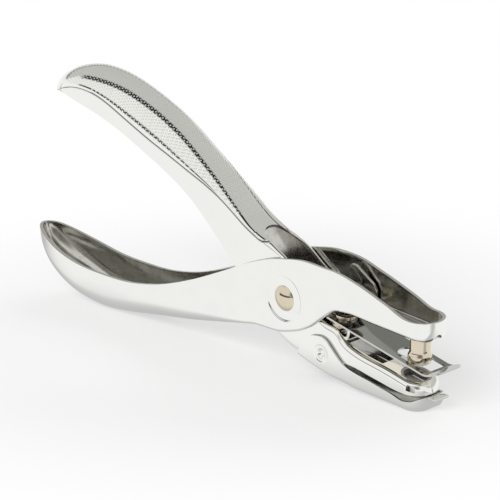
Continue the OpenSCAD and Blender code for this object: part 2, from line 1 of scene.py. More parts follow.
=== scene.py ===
"""Looks of a plier-type single hole punch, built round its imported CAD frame.

Two pressed levers, plated in mirror chrome, turn on one nickel rivet. The upper jaw carries the
punch, and the lower jaw the die, the stripper plate, the spring cup and the chip tray.
Sizes are in millimetres from the pivot rivet. The jaws point along +X and the rivet lies along Y.
"""

import json
import logging
import math
from collections.abc import Callable, Sequence
from dataclasses import dataclass
from enum import Enum
from typing import ClassVar

import bpy
import numpy as np
from mathutils import Matrix, Vector
from mathutils.kdtree import KDTree


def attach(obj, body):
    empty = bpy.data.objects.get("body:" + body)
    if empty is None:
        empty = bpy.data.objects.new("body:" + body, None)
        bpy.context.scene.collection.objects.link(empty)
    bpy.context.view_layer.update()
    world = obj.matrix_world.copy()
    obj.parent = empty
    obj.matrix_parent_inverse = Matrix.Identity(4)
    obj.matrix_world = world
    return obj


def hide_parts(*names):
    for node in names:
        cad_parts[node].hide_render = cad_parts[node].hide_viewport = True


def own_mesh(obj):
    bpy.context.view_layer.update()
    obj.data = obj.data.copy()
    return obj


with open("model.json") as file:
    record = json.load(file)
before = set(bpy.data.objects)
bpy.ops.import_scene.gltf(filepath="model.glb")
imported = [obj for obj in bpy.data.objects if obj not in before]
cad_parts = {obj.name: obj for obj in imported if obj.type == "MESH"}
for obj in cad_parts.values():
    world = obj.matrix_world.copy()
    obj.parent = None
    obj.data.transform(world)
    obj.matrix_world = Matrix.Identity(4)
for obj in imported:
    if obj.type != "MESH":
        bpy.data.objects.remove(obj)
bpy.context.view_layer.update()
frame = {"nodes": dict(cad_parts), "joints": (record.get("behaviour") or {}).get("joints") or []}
log = logging.getLogger("hole_punch")

MM = 0.001
QUARTER_TURN = math.pi / 2
PAD_LINE = "pad_line"
PIVOT = Vector(frame["joints"][0]["pos_m"])
TRAY_HINGE = Vector(frame["joints"][1]["pos_m"])

# The jaws point down by these angles, in degrees.
UPPER_SLOPE = 4.2
LOWER_SLOPE = 12.4
# Places on the lower jaw and the tray that several pieces share.
DIE_REACH = 40.9
DIE_FACE = -3.4
DIE_R = 3.9
CUP_REACH = 15.2
STOP_REACH = 20.4
TRAY_NOSE = 45.9
# Thickness of the sheet of both levers and of the tray.
LEVER_SHEET = 0.9
TRAY_SHEET = 0.6
# Facets round every turned or bored shape.
FACETS = 96
# Edges of a pressed shell that turn more than this, in degrees, are rounded and shaded sharp.
SHELL_ANGLE = 50.0
# Corners closer than this are merged.
WELD_REACH = 0.004
# Places closer than this count as the same one.
TOUCH = 0.001

Knots = tuple[tuple[float, float], ...]
Point = tuple[float, float, float]
Colour = tuple[float, float, float, float]


class Body(Enum):
    """The three bodies that a piece can ride on."""

    DIE_LEVER = "die_lever"
    PUNCH_LEVER = "punch_lever"
    TRAY = "tray"


class Slot(Enum):
    """Material slots of the record."""

    CHROME = "chrome"
    NICKEL = "nickel"
    STEEL = "steel"


# Finishes.


def linear(hex_colour: str) -> Colour:
    """Turn an sRGB hex colour into linear RGBA."""
    parts = [int(hex_colour[k : k + 2], 16) / 255 for k in (1, 3, 5)]
    return (*[c / 12.92 if c <= 0.04045 else ((c + 0.055) / 1.055) ** 2.4 for c in parts], 1.0)


def add_node(tree: bpy.types.NodeTree, kind: str, settings: dict[str, object] | None = None,
             inputs: dict[str | int, object] | None = None) -> bpy.types.Node:
    """Add a shader node with its settings, values and links.

    Args:
        tree: the node tree it goes into.
        kind: the node's type name.
        settings: the node's properties.
        inputs: by socket, a value or an output socket to link from.

    Returns:
        The node.
    """
    node = tree.nodes.new(kind)
    for name, value in (settings or {}).items():
        setattr(node, name, value)
    for socket, value in (inputs or {}).items():
        if isinstance(value, bpy.types.NodeSocket):
            tree.links.new(value, node.inputs[socket])
        else:
            node.inputs[socket].default_value = value
    return node


@dataclass(frozen=True)
class PressedLine:
    """The fine line that the press leaves round the knurled pad, with painted shade darkening the
    bottom of its crease.

    Args:
        depth: how deep it is pressed, in millimetres.
        reach: how far from its middle the surface is level again.
        crease_shade: sRGB hex of the painted shade in the bottom of the crease.
        crease_shade_share: how much of that colour shows.
        crease_shade_from: distance from the middle where the painted shade starts to thin out.
        crease_shade_to: distance where it ends.
    """

    depth: float = 0.22
    reach: float = 0.45
    crease_shade: str = "#3C3B38"
    crease_shade_share: float = 0.85
    crease_shade_from: float = 0.1
    crease_shade_to: float = 0.3

    def draw(self, tree: bpy.types.NodeTree, colour: bpy.types.NodeSocket,
             surface: bpy.types.NodeSocket) -> tuple[bpy.types.NodeSocket, bpy.types.NodeSocket]:
        """Press the line into a surface, by the distance stored on the mesh, and paint shade into its
        bottom.

        Args:
            tree: the material's node tree.
            colour: the surface's colour so far.
            surface: its normal so far.

        Returns:
            The colour and the normal with the line in them.
        """
        stored = add_node(tree, "ShaderNodeAttribute", {"attribute_name": PAD_LINE}).outputs["Fac"]
        away = add_node(tree, "ShaderNodeMath", {"operation": "ABSOLUTE"}, {
            0: stored}).outputs["Value"]
        height = add_node(tree, "ShaderNodeMapRange", {"interpolation_type": "SMOOTHSTEP"}, {
            "Value": away, "From Min": 0.0, "From Max": self.reach}).outputs["Result"]
        pressed = add_node(tree, "ShaderNodeBump", None, {
            "Strength": 1.0, "Distance": self.depth * MM, "Height": height, "Normal": surface,
        }).outputs["Normal"]
        # Painted shade: the colour darkens toward the middle of the line, where its crease falls into
        # shade.
        crease_shaded = add_node(tree, "ShaderNodeMapRange", {"interpolation_type": "SMOOTHSTEP"}, {
            "Value": away, "From Min": self.crease_shade_from, "From Max": self.crease_shade_to,
            "To Min": self.crease_shade_share, "To Max": 0.0,
        }).outputs["Result"]
        lined = add_node(tree, "ShaderNodeMix", {"data_type": "RGBA"}, {
            "Factor": crease_shaded, 6: colour, 7: linear(self.crease_shade)}).outputs[2]
        return lined, pressed


@dataclass(frozen=True)
class PlatedMetal:
    """A plated or bare metal surface.

    Args:
        name: what the surface really is.
        colour: the reflection seen straight on, sRGB hex.
        gloss: the least and most roughness, which wander over the surface.
        smudge_mm: size of the patches in which the gloss wanders.
        ripple_mm: spacing of the slow waves that the press leaves in the sheet.
        ripple: how strong those waves are.
        grain_mm: spacing of the fine polishing grain.
        grain: how strong the grain is.
        stain: colour of faint stains, sRGB hex.
        stain_share: how much of the stain's colour shows where it is strongest.
        line: a line pressed into the surface, or None.
    """

    name: str
    colour: str
    gloss: tuple[float, float]
    smudge_mm: float = 9.0
    ripple_mm: float = 14.0
    ripple: float = 0.0
    grain_mm: float = 0.25
    grain: float = 0.0
    stain: str = "#8A8378"
    stain_share: float = 0.0
    line: PressedLine | None = None

    def material(self) -> bpy.types.Material:
        """Build the material once and hand out the same one after that.

        Returns:
            The material.
        """
        if self.name in bpy.data.materials:
            return bpy.data.materials[self.name]
        made = bpy.data.materials.new(self.name)
        made.use_nodes = True
        tree = made.node_tree
        tree.nodes.clear()
        where = add_node(tree, "ShaderNodeTexCoord").outputs["Object"]
        # Spacing in millimetres, detail and roughness of the four patterns in the metal.
        patterns = {
            "smudge": (self.smudge_mm, 3.0, 0.55),
            "stain": (0.6 * self.smudge_mm, 4.0, 0.6),
            "ripple": (self.ripple_mm, 0.0, 0.5),
            "grain": (self.grain_mm, 2.0, 0.5),
        }
        seen = {}
        for use, (spacing, detail, roughness) in patterns.items():
            seen[use] = add_node(tree, "ShaderNodeTexNoise", None, {
                "Vector": where, "Scale": 1 / (spacing * MM), "Detail": detail,
                "Roughness": roughness,
            }).outputs["Fac"]
        low, high = self.gloss
        gloss = add_node(tree, "ShaderNodeMapRange", None, {
            "Value": seen["smudge"], "From Min": 0.35, "From Max": 0.7,
            "To Min": low, "To Max": high,
        }).outputs["Result"]
        stained = add_node(tree, "ShaderNodeMapRange", None, {
            "Value": seen["stain"], "From Min": 0.5, "From Max": 0.8,
            "To Min": 0.0, "To Max": self.stain_share,
        }).outputs["Result"]
        colour = add_node(tree, "ShaderNodeMix", {"data_type": "RGBA"}, {
            "Factor": stained, 6: linear(self.colour), 7: linear(self.stain)}).outputs[2]
        waves = add_node(tree, "ShaderNodeBump", None, {
            "Strength": 1.0, "Distance": self.ripple * MM, "Height": seen["ripple"],
        }).outputs["Normal"]
        surface = add_node(tree, "ShaderNodeBump", None, {
            "Strength": 1.0, "Distance": self.grain * MM, "Height": seen["grain"],
            "Normal": waves,
        }).outputs["Normal"]
        if self.line:
            colour, surface = self.line.draw(tree, colour, surface)
        shader = add_node(tree, "ShaderNodeBsdfPrincipled", None, {
            "Base Color": colour, "Metallic": 1.0, "Roughness": gloss, "Normal": surface,
        }).outputs["BSDF"]
        add_node(tree, "ShaderNodeOutputMaterial", None, {"Surface": shader})
        return made


# Bright chrome over polished sheet: a clear, slightly warm mirror with slow waves from the press.
MIRROR_CHROME = PlatedMetal("mirror_chrome_plate", "#F3F3F0", (0.03, 0.07), ripple=0.02,
                            stain_share=0.04)
# The same chrome on the upper handle, with the fine line that the press left round the pad; painted
# shade darkens the bottom of its crease.
GRIP_CHROME = PlatedMetal("mirror_chrome_plate_with_pad_line", "#F3F3F0", (0.03, 0.07),
                          ripple=0.02, stain_share=0.04, line=PressedLine())
# The inside of a pressed channel is plated but not polished first: a softer and darker mirror,
# mottled brown where the plate is thin.
INSIDE_CHROME = PlatedMetal("chrome_plate_unpolished_inside", "#C9C8C3", (0.1, 0.22),
                            smudge_mm=4.0, ripple=0.06, ripple_mm=7.0, stain="#7D725F",
                            stain_share=0.5)
# The sheared edge of the sheet under the plate: slightly grey and finely grained.
CUT_EDGE = PlatedMetal("chrome_plate_on_sheared_edge", "#CDCCC8", (0.14, 0.26), smudge_mm=2.0,
                       grain=0.004)
# Nickel plate on the rivet and the punch: a warm cream mirror, slightly softer than the chrome.
WARM_NICKEL = PlatedMetal("bright_nickel_plate", "#DDD3BE", (0.07, 0.12), smudge_mm=3.0,
                          stain="#A8977A", stain_share=0.2)
# The stripper plate is rolled spring steel: a darker mirror than the chrome above and below it.
SPRING_STEEL = PlatedMetal("rolled_spring_steel", "#8B8B87", (0.06, 0.12), smudge_mm=4.0,
                           stain_share=0.1)
# The plate's edges are blanked and tumbled, which leaves them bright and a little warm.
BRIGHT_EDGE = PlatedMetal("tumbled_bright_edge", "#F0EADC", (0.1, 0.2), smudge_mm=2.0)
# Hardened and ground die steel: grey with a fine grinding grain.
DIE_STEEL = PlatedMetal("ground_die_steel", "#A3A3A1", (0.28, 0.4), smudge_mm=2.0, grain=0.006,
                        stain_share=0.2)
# Drawn spring wire: dark, with the sheen of the drawing die.
SPRING_WIRE = PlatedMetal("drawn_spring_wire", "#8F8F8E", (0.22, 0.34), smudge_mm=1.2,
                          grain_mm=0.12, grain=0.003)


# Places and outlines.


def place(x: float, y: float, z: float) -> Vector:
    """Turn millimetres from the pivot into a point of the row frame, in metres."""
    return PIVOT + Vector((x, y, z)) * MM


def to_row_frame(points: np.ndarray) -> np.ndarray:
    """Do the same for a whole array of points."""
    return points * MM + np.array(PIVOT)


def in_jaw(slope: float, along: float, across: float, up: float) -> Vector:
    """Turn a jaw's own millimetres into a point of the row frame.

    Args:
        slope: how far the jaw points down, in degrees.
        along: distance from the pivot along the jaw.
        across: distance to the side.
        up: height square to the jaw.

    Returns:
        The point in metres.
    """
    turn = math.radians(slope)
    x = along * math.cos(turn) + up * math.sin(turn)
    z = up * math.cos(turn) - along * math.sin(turn)
    return place(x, across, z)


def ease(value: np.ndarray | float) -> np.ndarray:
    """Level, rise and level again while value goes from 0 to 1."""
    share = np.clip(value, 0.0, 1.0)
    return share * share * (3.0 - 2.0 * share)


def fade(distance: np.ndarray, reach: float) -> np.ndarray:
    """Bring a width or a depth to nothing at a closed end, as a quarter ellipse.

    Args:
        distance: how far each place is from the end.
        reach: where the full size is met.

    Returns:
        A share from 0 to 1.
    """
    inside = np.clip(distance, 0.0, reach)
    return np.sqrt(inside * (2.0 * reach - inside)) / reach


@dataclass(frozen=True)
class Outline:
    """A fair line through knots: a height or a half width at any place along a lever.

    Args:
        knots: (x, value) pairs from the back to the front.
        jaw_softness: how far the line is evened out in front of the pivot.
        handle_softness: how far it is evened out along the handle.
        handle_at: where the handle's softness starts to blend in, going back.
        blend: length of that blend.
    """

    knots: Knots
    jaw_softness: float = 0.6
    handle_softness: float = 3.0
    handle_at: float = -10.0
    blend: float = 14.0

    def through_knots(self, x: np.ndarray) -> np.ndarray:
        """Read the line before it is evened out.

        Args:
            x: places along the lever.

        Returns:
            The value at each place, on a curve that overshoots no knot.
        """
        at, value = np.array(self.knots, float).T
        rise = np.diff(value) / np.diff(at)
        before, after = rise[:-1], rise[1:]
        same_way = before * after > 0
        total = np.where(same_way, before + after, 1.0)
        inner = np.where(same_way, 2.0 * before * after / total, 0.0)
        slope = np.concatenate([rise[:1], inner, rise[-1:]])
        k = np.clip(np.searchsorted(at, x, side="right") - 1, 0, len(at) - 2)
        run = at[k + 1] - at[k]
        t = (x - at[k]) / run
        start = (2 * t**3 - 3 * t**2 + 1) * value[k] + (t**3 - 2 * t**2 + t) * run * slope[k]
        end = (3 * t**2 - 2 * t**3) * value[k + 1] + (t**3 - t**2) * run * slope[k + 1]
        return start + end

    def at(self, x: np.ndarray) -> np.ndarray:
        """Read the fair line, as a bell-shaped average that narrows toward both ends.

        Args:
            x: places along the lever.

        Returns:
            The evened value at each place.
        """
        first, last = self.knots[0][0], self.knots[-1][0]
        handle = ease((self.handle_at - x) / self.blend)
        softness = self.jaw_softness + (self.handle_softness - self.jaw_softness) * handle
        bell_reach = 2.0
        room = np.minimum(x - first, last - x) / (1.1 * bell_reach)
        softness = np.minimum(softness, np.maximum(room, 0.0))
        steps = np.linspace(-bell_reach, bell_reach, 17)
        weights = np.exp(-(steps**2) / 2.0)
        values = [weight * self.through_knots(x + step * softness)
                  for step, weight in zip(steps, weights)]
        return np.sum(values, axis=0) / weights.sum()


def constant(value: float) -> Outline:
    """An outline with one value all along."""
    return Outline(((-200.0, value), (200.0, value)))


# Modelling.


def make_active(piece: bpy.types.Object) -> None:
    """Select one piece alone and make it the active one."""
    deselect_all()
    piece.select_set(True)
    bpy.context.view_layer.objects.active = piece


def deselect_all() -> None:
    """Leave no object selected, because operators act on all that is."""
    for thing in bpy.context.selected_objects:
        thing.select_set(False)


def newly_added(name: str, scale: Point = (1.0, 1.0, 1.0)) -> bpy.types.Object:
    """Name the primitive just added, and put its place, turn and scale into its mesh."""
    piece = bpy.context.active_object
    piece.name = name
    piece.scale = scale
    make_active(piece)
    bpy.ops.object.transform_apply(location=True, rotation=True, scale=True)
    return piece


def edit_mesh(piece: bpy.types.Object, *steps: Callable[[], object],
              select: str = "SELECT") -> None:
    """Run edit-mode operators on a piece.

    Args:
        piece: the piece to work on.
        steps: calls made in edit mode, in order.
        select: what select_all does first, or "" to keep the selection.
    """
    make_active(piece)
    bpy.ops.object.mode_set(mode="EDIT")
    if select:
        bpy.ops.mesh.select_all(action=select)
    for step in steps:
        step()
    bpy.ops.object.mode_set(mode="OBJECT")


def select_faces(piece: bpy.types.Object, chosen: Sequence[bool]) -> None:
    """Select some faces of a piece and nothing else of it.

    Args:
        piece: the piece, in object mode.
        chosen: for each face, whether it gets selected.
    """
    edit_mesh(piece, lambda: bpy.ops.mesh.select_mode(type="FACE"), select="DESELECT")
    piece.data.polygons.foreach_set("select", chosen)


def finish_with(piece: bpy.types.Object, kind: str, **settings: object) -> None:
    """Add a modifier with its settings and apply it.

    Args:
        piece: the piece to finish.
        kind: the modifier's type.
        settings: its properties by name.
    """
    make_active(piece)
    modifier = piece.modifiers.new(kind.title(), kind)
    for name, value in settings.items():
        setattr(modifier, name, value)
    bpy.ops.object.modifier_apply(modifier=modifier.name)


def soften_edges(piece: bpy.types.Object, width: float, angle: float = 40.0,
                 segments: int = 3) -> None:
    """Round the sharp edges of a piece.

    Args:
        piece: the piece to round.
        width: the size of the rounding in millimetres.
        angle: edges that turn more than this, in degrees, are rounded.
        segments: steps round the edge.
    """
    finish_with(piece, "BEVEL", width=width * MM, segments=segments, limit_method="ANGLE",
                angle_limit=math.radians(angle), use_clamp_overlap=True, harden_normals=False)


def shade(piece: bpy.types.Object, angle: float = 40.0) -> None:
    """Shade a piece smooth, except across edges sharper than an angle in degrees."""
    make_active(piece)
    bpy.ops.object.shade_smooth_by_angle(angle=math.radians(angle))


def dress(piece: bpy.types.Object, *finishes: PlatedMetal) -> None:
    """Give a piece its finishes, one to each material index in order."""
    for finish in finishes:
        piece.data.materials.append(finish.material())


def carve(piece: bpy.types.Object, cutter: bpy.types.Object) -> None:
    """Cut one closed shape out of another, with the sheared finish, and drop the cutter."""
    dress(cutter, CUT_EDGE)
    finish_with(piece, "BOOLEAN", object=cutter, operation="DIFFERENCE", solver="EXACT",
                material_mode="TRANSFER")
    bpy.data.objects.remove(cutter)


def weld(piece: bpy.types.Object, reach: float = WELD_REACH) -> None:
    """Merge the doubles of a closed piece and turn its faces outwards; reach in millimetres."""
    edit_mesh(
        piece,
        lambda: bpy.ops.mesh.remove_doubles(threshold=reach * MM),
        lambda: bpy.ops.mesh.normals_make_consistent(inside=False),
    )


def thicken(skin: bpy.types.Object, sheet_t: float) -> None:
    """Close a dressed skin's ends and give it its sheet's thickness, inwards.

    Args:
        skin: the skin, with finishes for its outside, its inside and its rim.
        sheet_t: thickness in millimetres.
    """
    edit_mesh(skin, lambda: bpy.ops.mesh.remove_doubles(threshold=WELD_REACH * MM))
    finish_with(skin, "SOLIDIFY", thickness=sheet_t * MM, offset=-1.0, use_even_offset=True,
                use_quality_normals=True, material_offset=1, material_offset_rim=2)


def rod(name: str, radius: float, length: float, centre: Vector,
        lean: float) -> bpy.types.Object:
    """Add a plain closed rod to cut with.

    Args:
        name: the object's name.
        radius: in millimetres.
        length: in millimetres.
        centre: its middle in the row frame.
        lean: how far it leans forward from upright, in degrees.

    Returns:
        The rod.
    """
    deselect_all()
    bpy.ops.mesh.primitive_cylinder_add(vertices=FACETS, radius=radius * MM, depth=length * MM,
                                        location=centre, rotation=(0.0, math.radians(lean), 0.0))
    return newly_added(name)


def block(name: str, size: Point, centre: Vector, slope: float = 0.0) -> bpy.types.Object:
    """Add a closed block.

    Args:
        name: the object's name.
        size: its length, width and height in millimetres.
        centre: its middle in the row frame.
        slope: how far it points down, in degrees.

    Returns:
        The block.
    """
    deselect_all()
    bpy.ops.mesh.primitive_cube_add(size=MM, location=centre,
                                    rotation=(0.0, math.radians(slope), 0.0))
    return newly_added(name, size)


def sheet(name: str, rows: np.ndarray, outside: Vector) -> bpy.types.Object:
    """Lay a grid over rows of points, as a skin with no thickness yet.

    Args:
        name: the object's name.
        rows: points in the row frame, shaped (stations, points round a section, 3).
        outside: a point that the outer side of the skin faces.

    Returns:
        The skin.
    """
    count, around = rows.shape[:2]
    deselect_all()
    bpy.ops.mesh.primitive_grid_add(x_subdivisions=count - 1, y_subdivisions=around - 1, size=1.0)
    skin = newly_added(name)
    flat = np.empty(count * around * 3, np.float32)
    skin.data.vertices.foreach_get("co", flat)
    flat = flat.reshape(-1, 3)
    i = np.rint((flat[:, 0] + 0.5) * (count - 1)).astype(int)
    j = np.rint((flat[:, 1] + 0.5) * (around - 1)).astype(int)
    skin.data.vertices.foreach_set("co", rows[i, j].astype(np.float32).ravel())
    skin.data.update()
    nearest = min(skin.data.polygons, key=lambda face: (face.center - outside).length)
    if nearest.normal.dot(outside - nearest.center) < 0:
        edit_mesh(skin, bpy.ops.mesh.flip_normals)
    return skin


def turned(name: str, profile: Sequence[tuple[float, float]], foot: Vector, turn: float,
           about: str = "Y", rounding: float = 0.0) -> bpy.types.Object:
    """Turn a closed profile about its upright axis, as on a lathe, and lean it into place.

    Args:
        name: the object's name.
        profile: (radius, height) corners in millimetres, all the way round.
        foot: where the axis meets height 0, in the row frame.
        turn: how far the finished piece is turned, in degrees.
        about: the axis it is turned about.
        rounding: size of the rounded edges in millimetres.

    Returns:
        The turned piece.
    """
    deselect_all()
    bpy.ops.mesh.primitive_circle_add(vertices=len(profile), radius=MM, fill_type="NOTHING")
    piece = newly_added(name)
    for corner, (radius, height) in zip(piece.data.vertices, profile):
        corner.co = Vector((radius, 0.0, height)) * MM
    edit_mesh(
        piece,
        lambda: bpy.ops.mesh.spin(steps=FACETS, angle=2 * math.pi, center=(0, 0, 0),
                                  axis=(0, 0, 1), dupli=False),
    )
    weld(piece, 0.002)
    if rounding:
        soften_edges(piece, rounding, 25.0)
    lean = Matrix.Rotation(math.radians(turn), 4, about)
    piece.data.transform(Matrix.Translation(foot) @ lean)
    shade(piece)
    return piece


def press_round(skin: bpy.types.Object, axis: Vector, ring: tuple[float, float], cuts: int,
                depth: Callable[[float], float]) -> None:
    """Press both walls of a skin inwards round an axis along Y.

    Args:
        skin: the skin.
        axis: a point of the axis.
        ring: distances from the axis between which the walls are divided finer first.
        cuts: how many cuts each face of the ring gets.
        depth: gives how deep a wall is pressed at a distance from the axis, in millimetres.
    """
    def reach(spot: Vector) -> float:
        """Distance from the axis in millimetres."""
        return math.hypot(spot.x - axis.x, spot.z - axis.z) / MM

    least, most = ring
    select_faces(skin, [abs(face.normal.y) > 0.7 and least <= reach(face.center) < most
                        for face in skin.data.polygons])
    edit_mesh(skin, lambda: bpy.ops.mesh.subdivide(number_cuts=cuts), select="")
    for corner in skin.data.vertices:
        corner.co.y -= math.copysign(depth(reach(corner.co)) * MM, corner.co.y)


@dataclass
class Piece:
    """What every piece has: a name, finishes, a body to ride on and a material slot.

    A piece with a CAD node of its own name stands for that node.
    """

    name: ClassVar[str]
    finishes: ClassVar[tuple[PlatedMetal, ...]]
    body: ClassVar[Body] = Body.DIE_LEVER
    slot: ClassVar[Slot] = Slot.CHROME

    def build(self) -> bpy.types.Object:
        """Model the piece in place and dress it."""
        raise NotImplementedError

    def dress(self, piece: bpy.types.Object) -> bpy.types.Object:
        """Give the piece its finishes and hand it back."""
        dress(piece, *self.finishes)
        return piece

    def add(self) -> bpy.types.Object:
        """Build the piece and let it ride on its body and stand for its CAD node.

        Returns:
            The finished piece.
        """
        piece = self.build()
        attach(piece, self.body.value)
        if self.name in frame["nodes"]:
            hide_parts(self.name)
        log.info("%s: %d faces on %s", piece.name, len(piece.data.polygons), self.body.value)
        return piece


# Pressed channels.


@dataclass(frozen=True)
class Opening:
    """A long opening through a web, from wall to wall.

    Args:
        back: its rear end along the lever.
        front: its front end.
        half: half its width.
        round_r: radius of its rear end, or 0 for a straight one.
    """

    back: float
    front: float
    half: float
    round_r: float = 0.0

    def half_at(self, x: np.ndarray) -> np.ndarray:
        """Half the width at each place, and 0 outside the opening."""
        full = fade(x - self.back, self.round_r) if self.round_r else 1.0
        return np.where(self.holds(x), self.half * full, 0.0)

    def holds(self, x: np.ndarray) -> np.ndarray:
        """Whether each place lies within the opening's length or on its ends."""
        return (x > self.back - TOUCH) & (x < self.front + TOUCH)

    def marks(self) -> list[float]:
        """Places that a section has to meet, closer together along the round end."""
        turn = np.linspace(0.0, QUARTER_TURN, 16 if self.round_r else 1)
        return [*(self.back + self.round_r * (1 - np.cos(turn))), self.front]


@dataclass(frozen=True)
class Channel:
    """One pressed sheet channel, described by its outlines.

    Args:
        rim: height of the open rim.
        back_line: height of the web.
        half_width: half the width.
        corner_across: corner radius measured across.
        corner_up: corner radius measured up.
        back_end: where the back closes, or where it is cut off.
        front_end: where the nose closes.
        back_curl: (depth, width) lengths over which the back closes, or None for an open end.
        front_curl: (depth, width) lengths over which the nose closes.
        opening: the opening through the web.
        wall_steps: faces up one wall.
        corner_steps: faces round one corner.
        web_steps: faces across half the web.
        curl_steps: sections along a closing end.
        most_across: the most of the half width that a corner takes.
        most_up: the most of the depth that it takes.
    """

    rim: Outline
    back_line: Outline
    half_width: Outline
    corner_across: Outline
    corner_up: Outline
    back_end: float
    front_end: float
    back_curl: tuple[float, float] | None
    front_curl: tuple[float, float]
    opening: Opening
    wall_steps: int = 16
    corner_steps: int = 18
    web_steps: int = 12
    curl_steps: int = 34
    most_across: float = 0.98
    most_up: float = 0.92

    def stations(self, step: float) -> np.ndarray:
        """Places of the cross-sections, closer together where an end curls round.

        Args:
            step: spacing along the middle.

        Returns:
            The places in order, the ends of the opening among them.
        """
        back_reach = self.back_curl[1] if self.back_curl else 0.0
        front_reach = self.front_curl[1]
        curl = 1.0 - np.cos(np.linspace(0.0, QUARTER_TURN, self.curl_steps))
        count = round((self.front_end - front_reach - self.back_end - back_reach) / step)
        middle = np.linspace(self.back_end + back_reach, self.front_end - front_reach, count + 1)
        back = self.back_end + back_reach * curl if back_reach else np.array([self.back_end])
        places = np.concatenate([back, middle, self.front_end - front_reach * curl])
        marks = self.opening.marks()
        apart = np.min(np.abs(places[:, None] - np.array(marks)[None, :]), axis=1)
        return np.unique(np.round(np.concatenate([places[apart > 0.3 * step], marks]), 4))

    def shares(self) -> tuple[np.ndarray, np.ndarray]:
        """How each point of a section sits between rim, corner and the middle of the web.

        Returns:
            The parts (0 wall, 1 corner, 2 web) and the share of the way along that part.
        """
        wall = np.linspace(0.0, 1.0, self.wall_steps + 1)
        corner = np.linspace(0.0, 1.0, self.corner_steps + 1)[1:]
        web = np.linspace(0.0, 1.0, self.web_steps + 1)[1:]
        part = np.repeat([0, 1, 2], [len(wall), len(corner), len(web)])
        return part, np.concatenate([wall, corner, web])

    def rows(self, x: np.ndarray) -> np.ndarray:
        """Points of the outer skin.

        Args:
            x: places of the sections.

        Returns:
            Points in millimetres, shaped (sections, points round one, 3).
        """
        rim = self.rim.at(x)
        depth = self.back_line.at(x) - rim
        half = self.half_width.at(x)
        deep_nose, wide_nose = self.front_curl
        ends_deep = fade(self.front_end - x, deep_nose)
        ends_wide = fade(self.front_end - x, wide_nose)
        if self.back_curl:
            deep_back, wide_back = self.back_curl
            ends_deep = ends_deep * fade(x - self.back_end, deep_back)
            ends_wide = ends_wide * fade(x - self.back_end, wide_back)
        depth = depth * ends_deep
        half = half * ends_wide
        across = np.minimum(self.corner_across.at(x), self.most_across * half)
        up = np.minimum(self.corner_up.at(x), self.most_up * np.abs(depth))
        wall_depth = np.abs(depth) - up
        part, share = self.shares()
        turn = share * QUARTER_TURN
        y = np.where(part == 0, half[:, None],
                     np.where(part == 1, half[:, None] - across[:, None] * (1 - np.cos(turn)),
                              (half - across)[:, None] * (1 - share)))
        down = np.where(part == 0, wall_depth[:, None] * share,
                        np.where(part == 1, wall_depth[:, None] + up[:, None] * np.sin(turn),
                                 (wall_depth + up)[:, None]))
        for k in np.flatnonzero(self.opening.holds(x)):
            bend = (half[k], across[k], wall_depth[k], up[k])
            edge = self.opening.half_at(x[k : k + 1])[0]
            y[k], down[k] = self.meet_edge(y[k], down[k], bend, edge)
        z = rim[:, None] + np.sign(depth)[:, None] * down
        left = np.stack([np.broadcast_to(x[:, None], y.shape), -y, z], axis=-1)
        right = left[:, -2::-1] * np.array([1.0, -1.0, 1.0])
        return np.concatenate([left, right], axis=1)

    def meet_edge(self, y: np.ndarray, down: np.ndarray, bend: tuple[float, float, float, float],
                  edge: float) -> tuple[np.ndarray, np.ndarray]:
        """Move the points of one section along it, until one stands on the opening's edge.

        Args:
            y: half widths of the points.
            down: their distances from the rim.
            bend: half width, width of the corner, height of the wall and height of the corner.
            edge: half width of the opening at this section.

        Returns:
            The changed half widths and distances.
        """
        half, across, wall_depth, up = bend
        turn = np.linspace(0.0, QUARTER_TURN, 120)
        fine_y = np.append(half - across * (1 - np.cos(turn)), 0.0)
        fine_down = np.append(wall_depth + up * np.sin(turn), wall_depth + up)
        steps = np.hypot(np.diff(fine_y), np.diff(fine_down))
        run = np.concatenate([[0.0], np.cumsum(steps)])
        at_edge = np.interp(edge, fine_y[::-1], run[::-1])
        outer = np.linspace(0.0, at_edge, self.corner_steps + 1)[1:]
        inner = np.linspace(at_edge, run[-1], self.web_steps + 1)[1:]
        spots = np.concatenate([outer, inner])
        wall = slice(0, self.wall_steps + 1)
        return (np.concatenate([y[wall], np.interp(spots, run, fine_y)]),
                np.concatenate([down[wall], np.interp(spots, run, fine_down)]))

    def press(self, name: str, step: float, outside: Point) -> bpy.types.Object:
        """Lay the outer skin of the channel and open its web.

        Args:
            name: the piece's name.
            step: spacing of the sections.
            outside: a point that the outer side faces, in millimetres from the pivot.

        Returns:
            The skin.
        """
        skin = sheet(name, to_row_frame(self.rows(self.stations(step))), place(*outside))
        mesh = skin.data
        corners = np.empty(len(mesh.vertices) * 3, np.float32)
        mesh.vertices.foreach_get("co", corners)
        spots = (corners.reshape(-1, 3) - np.array(PIVOT)) / MM
        faces = np.array([tuple(face.vertices) for face in mesh.polygons])
        edge = self.opening.half_at(spots[:, 0])[faces].mean(axis=1)
        along = spots[faces][:, :, 0].mean(axis=1)
        aside = np.abs(spots[faces][:, :, 1]).mean(axis=1)
        within = (along > self.opening.back) & (along < self.opening.front)
        select_faces(skin, within & (aside < edge - TOUCH))
        edit_mesh(skin, lambda: bpy.ops.mesh.delete(type="FACE"), select="")
        return skin


def soften_shell(shell: bpy.types.Object, rounding: float) -> None:
    """Round the sheared edges of a pressed shell."""
    soften_edges(shell, rounding, SHELL_ANGLE, 2)


# The outer lever.


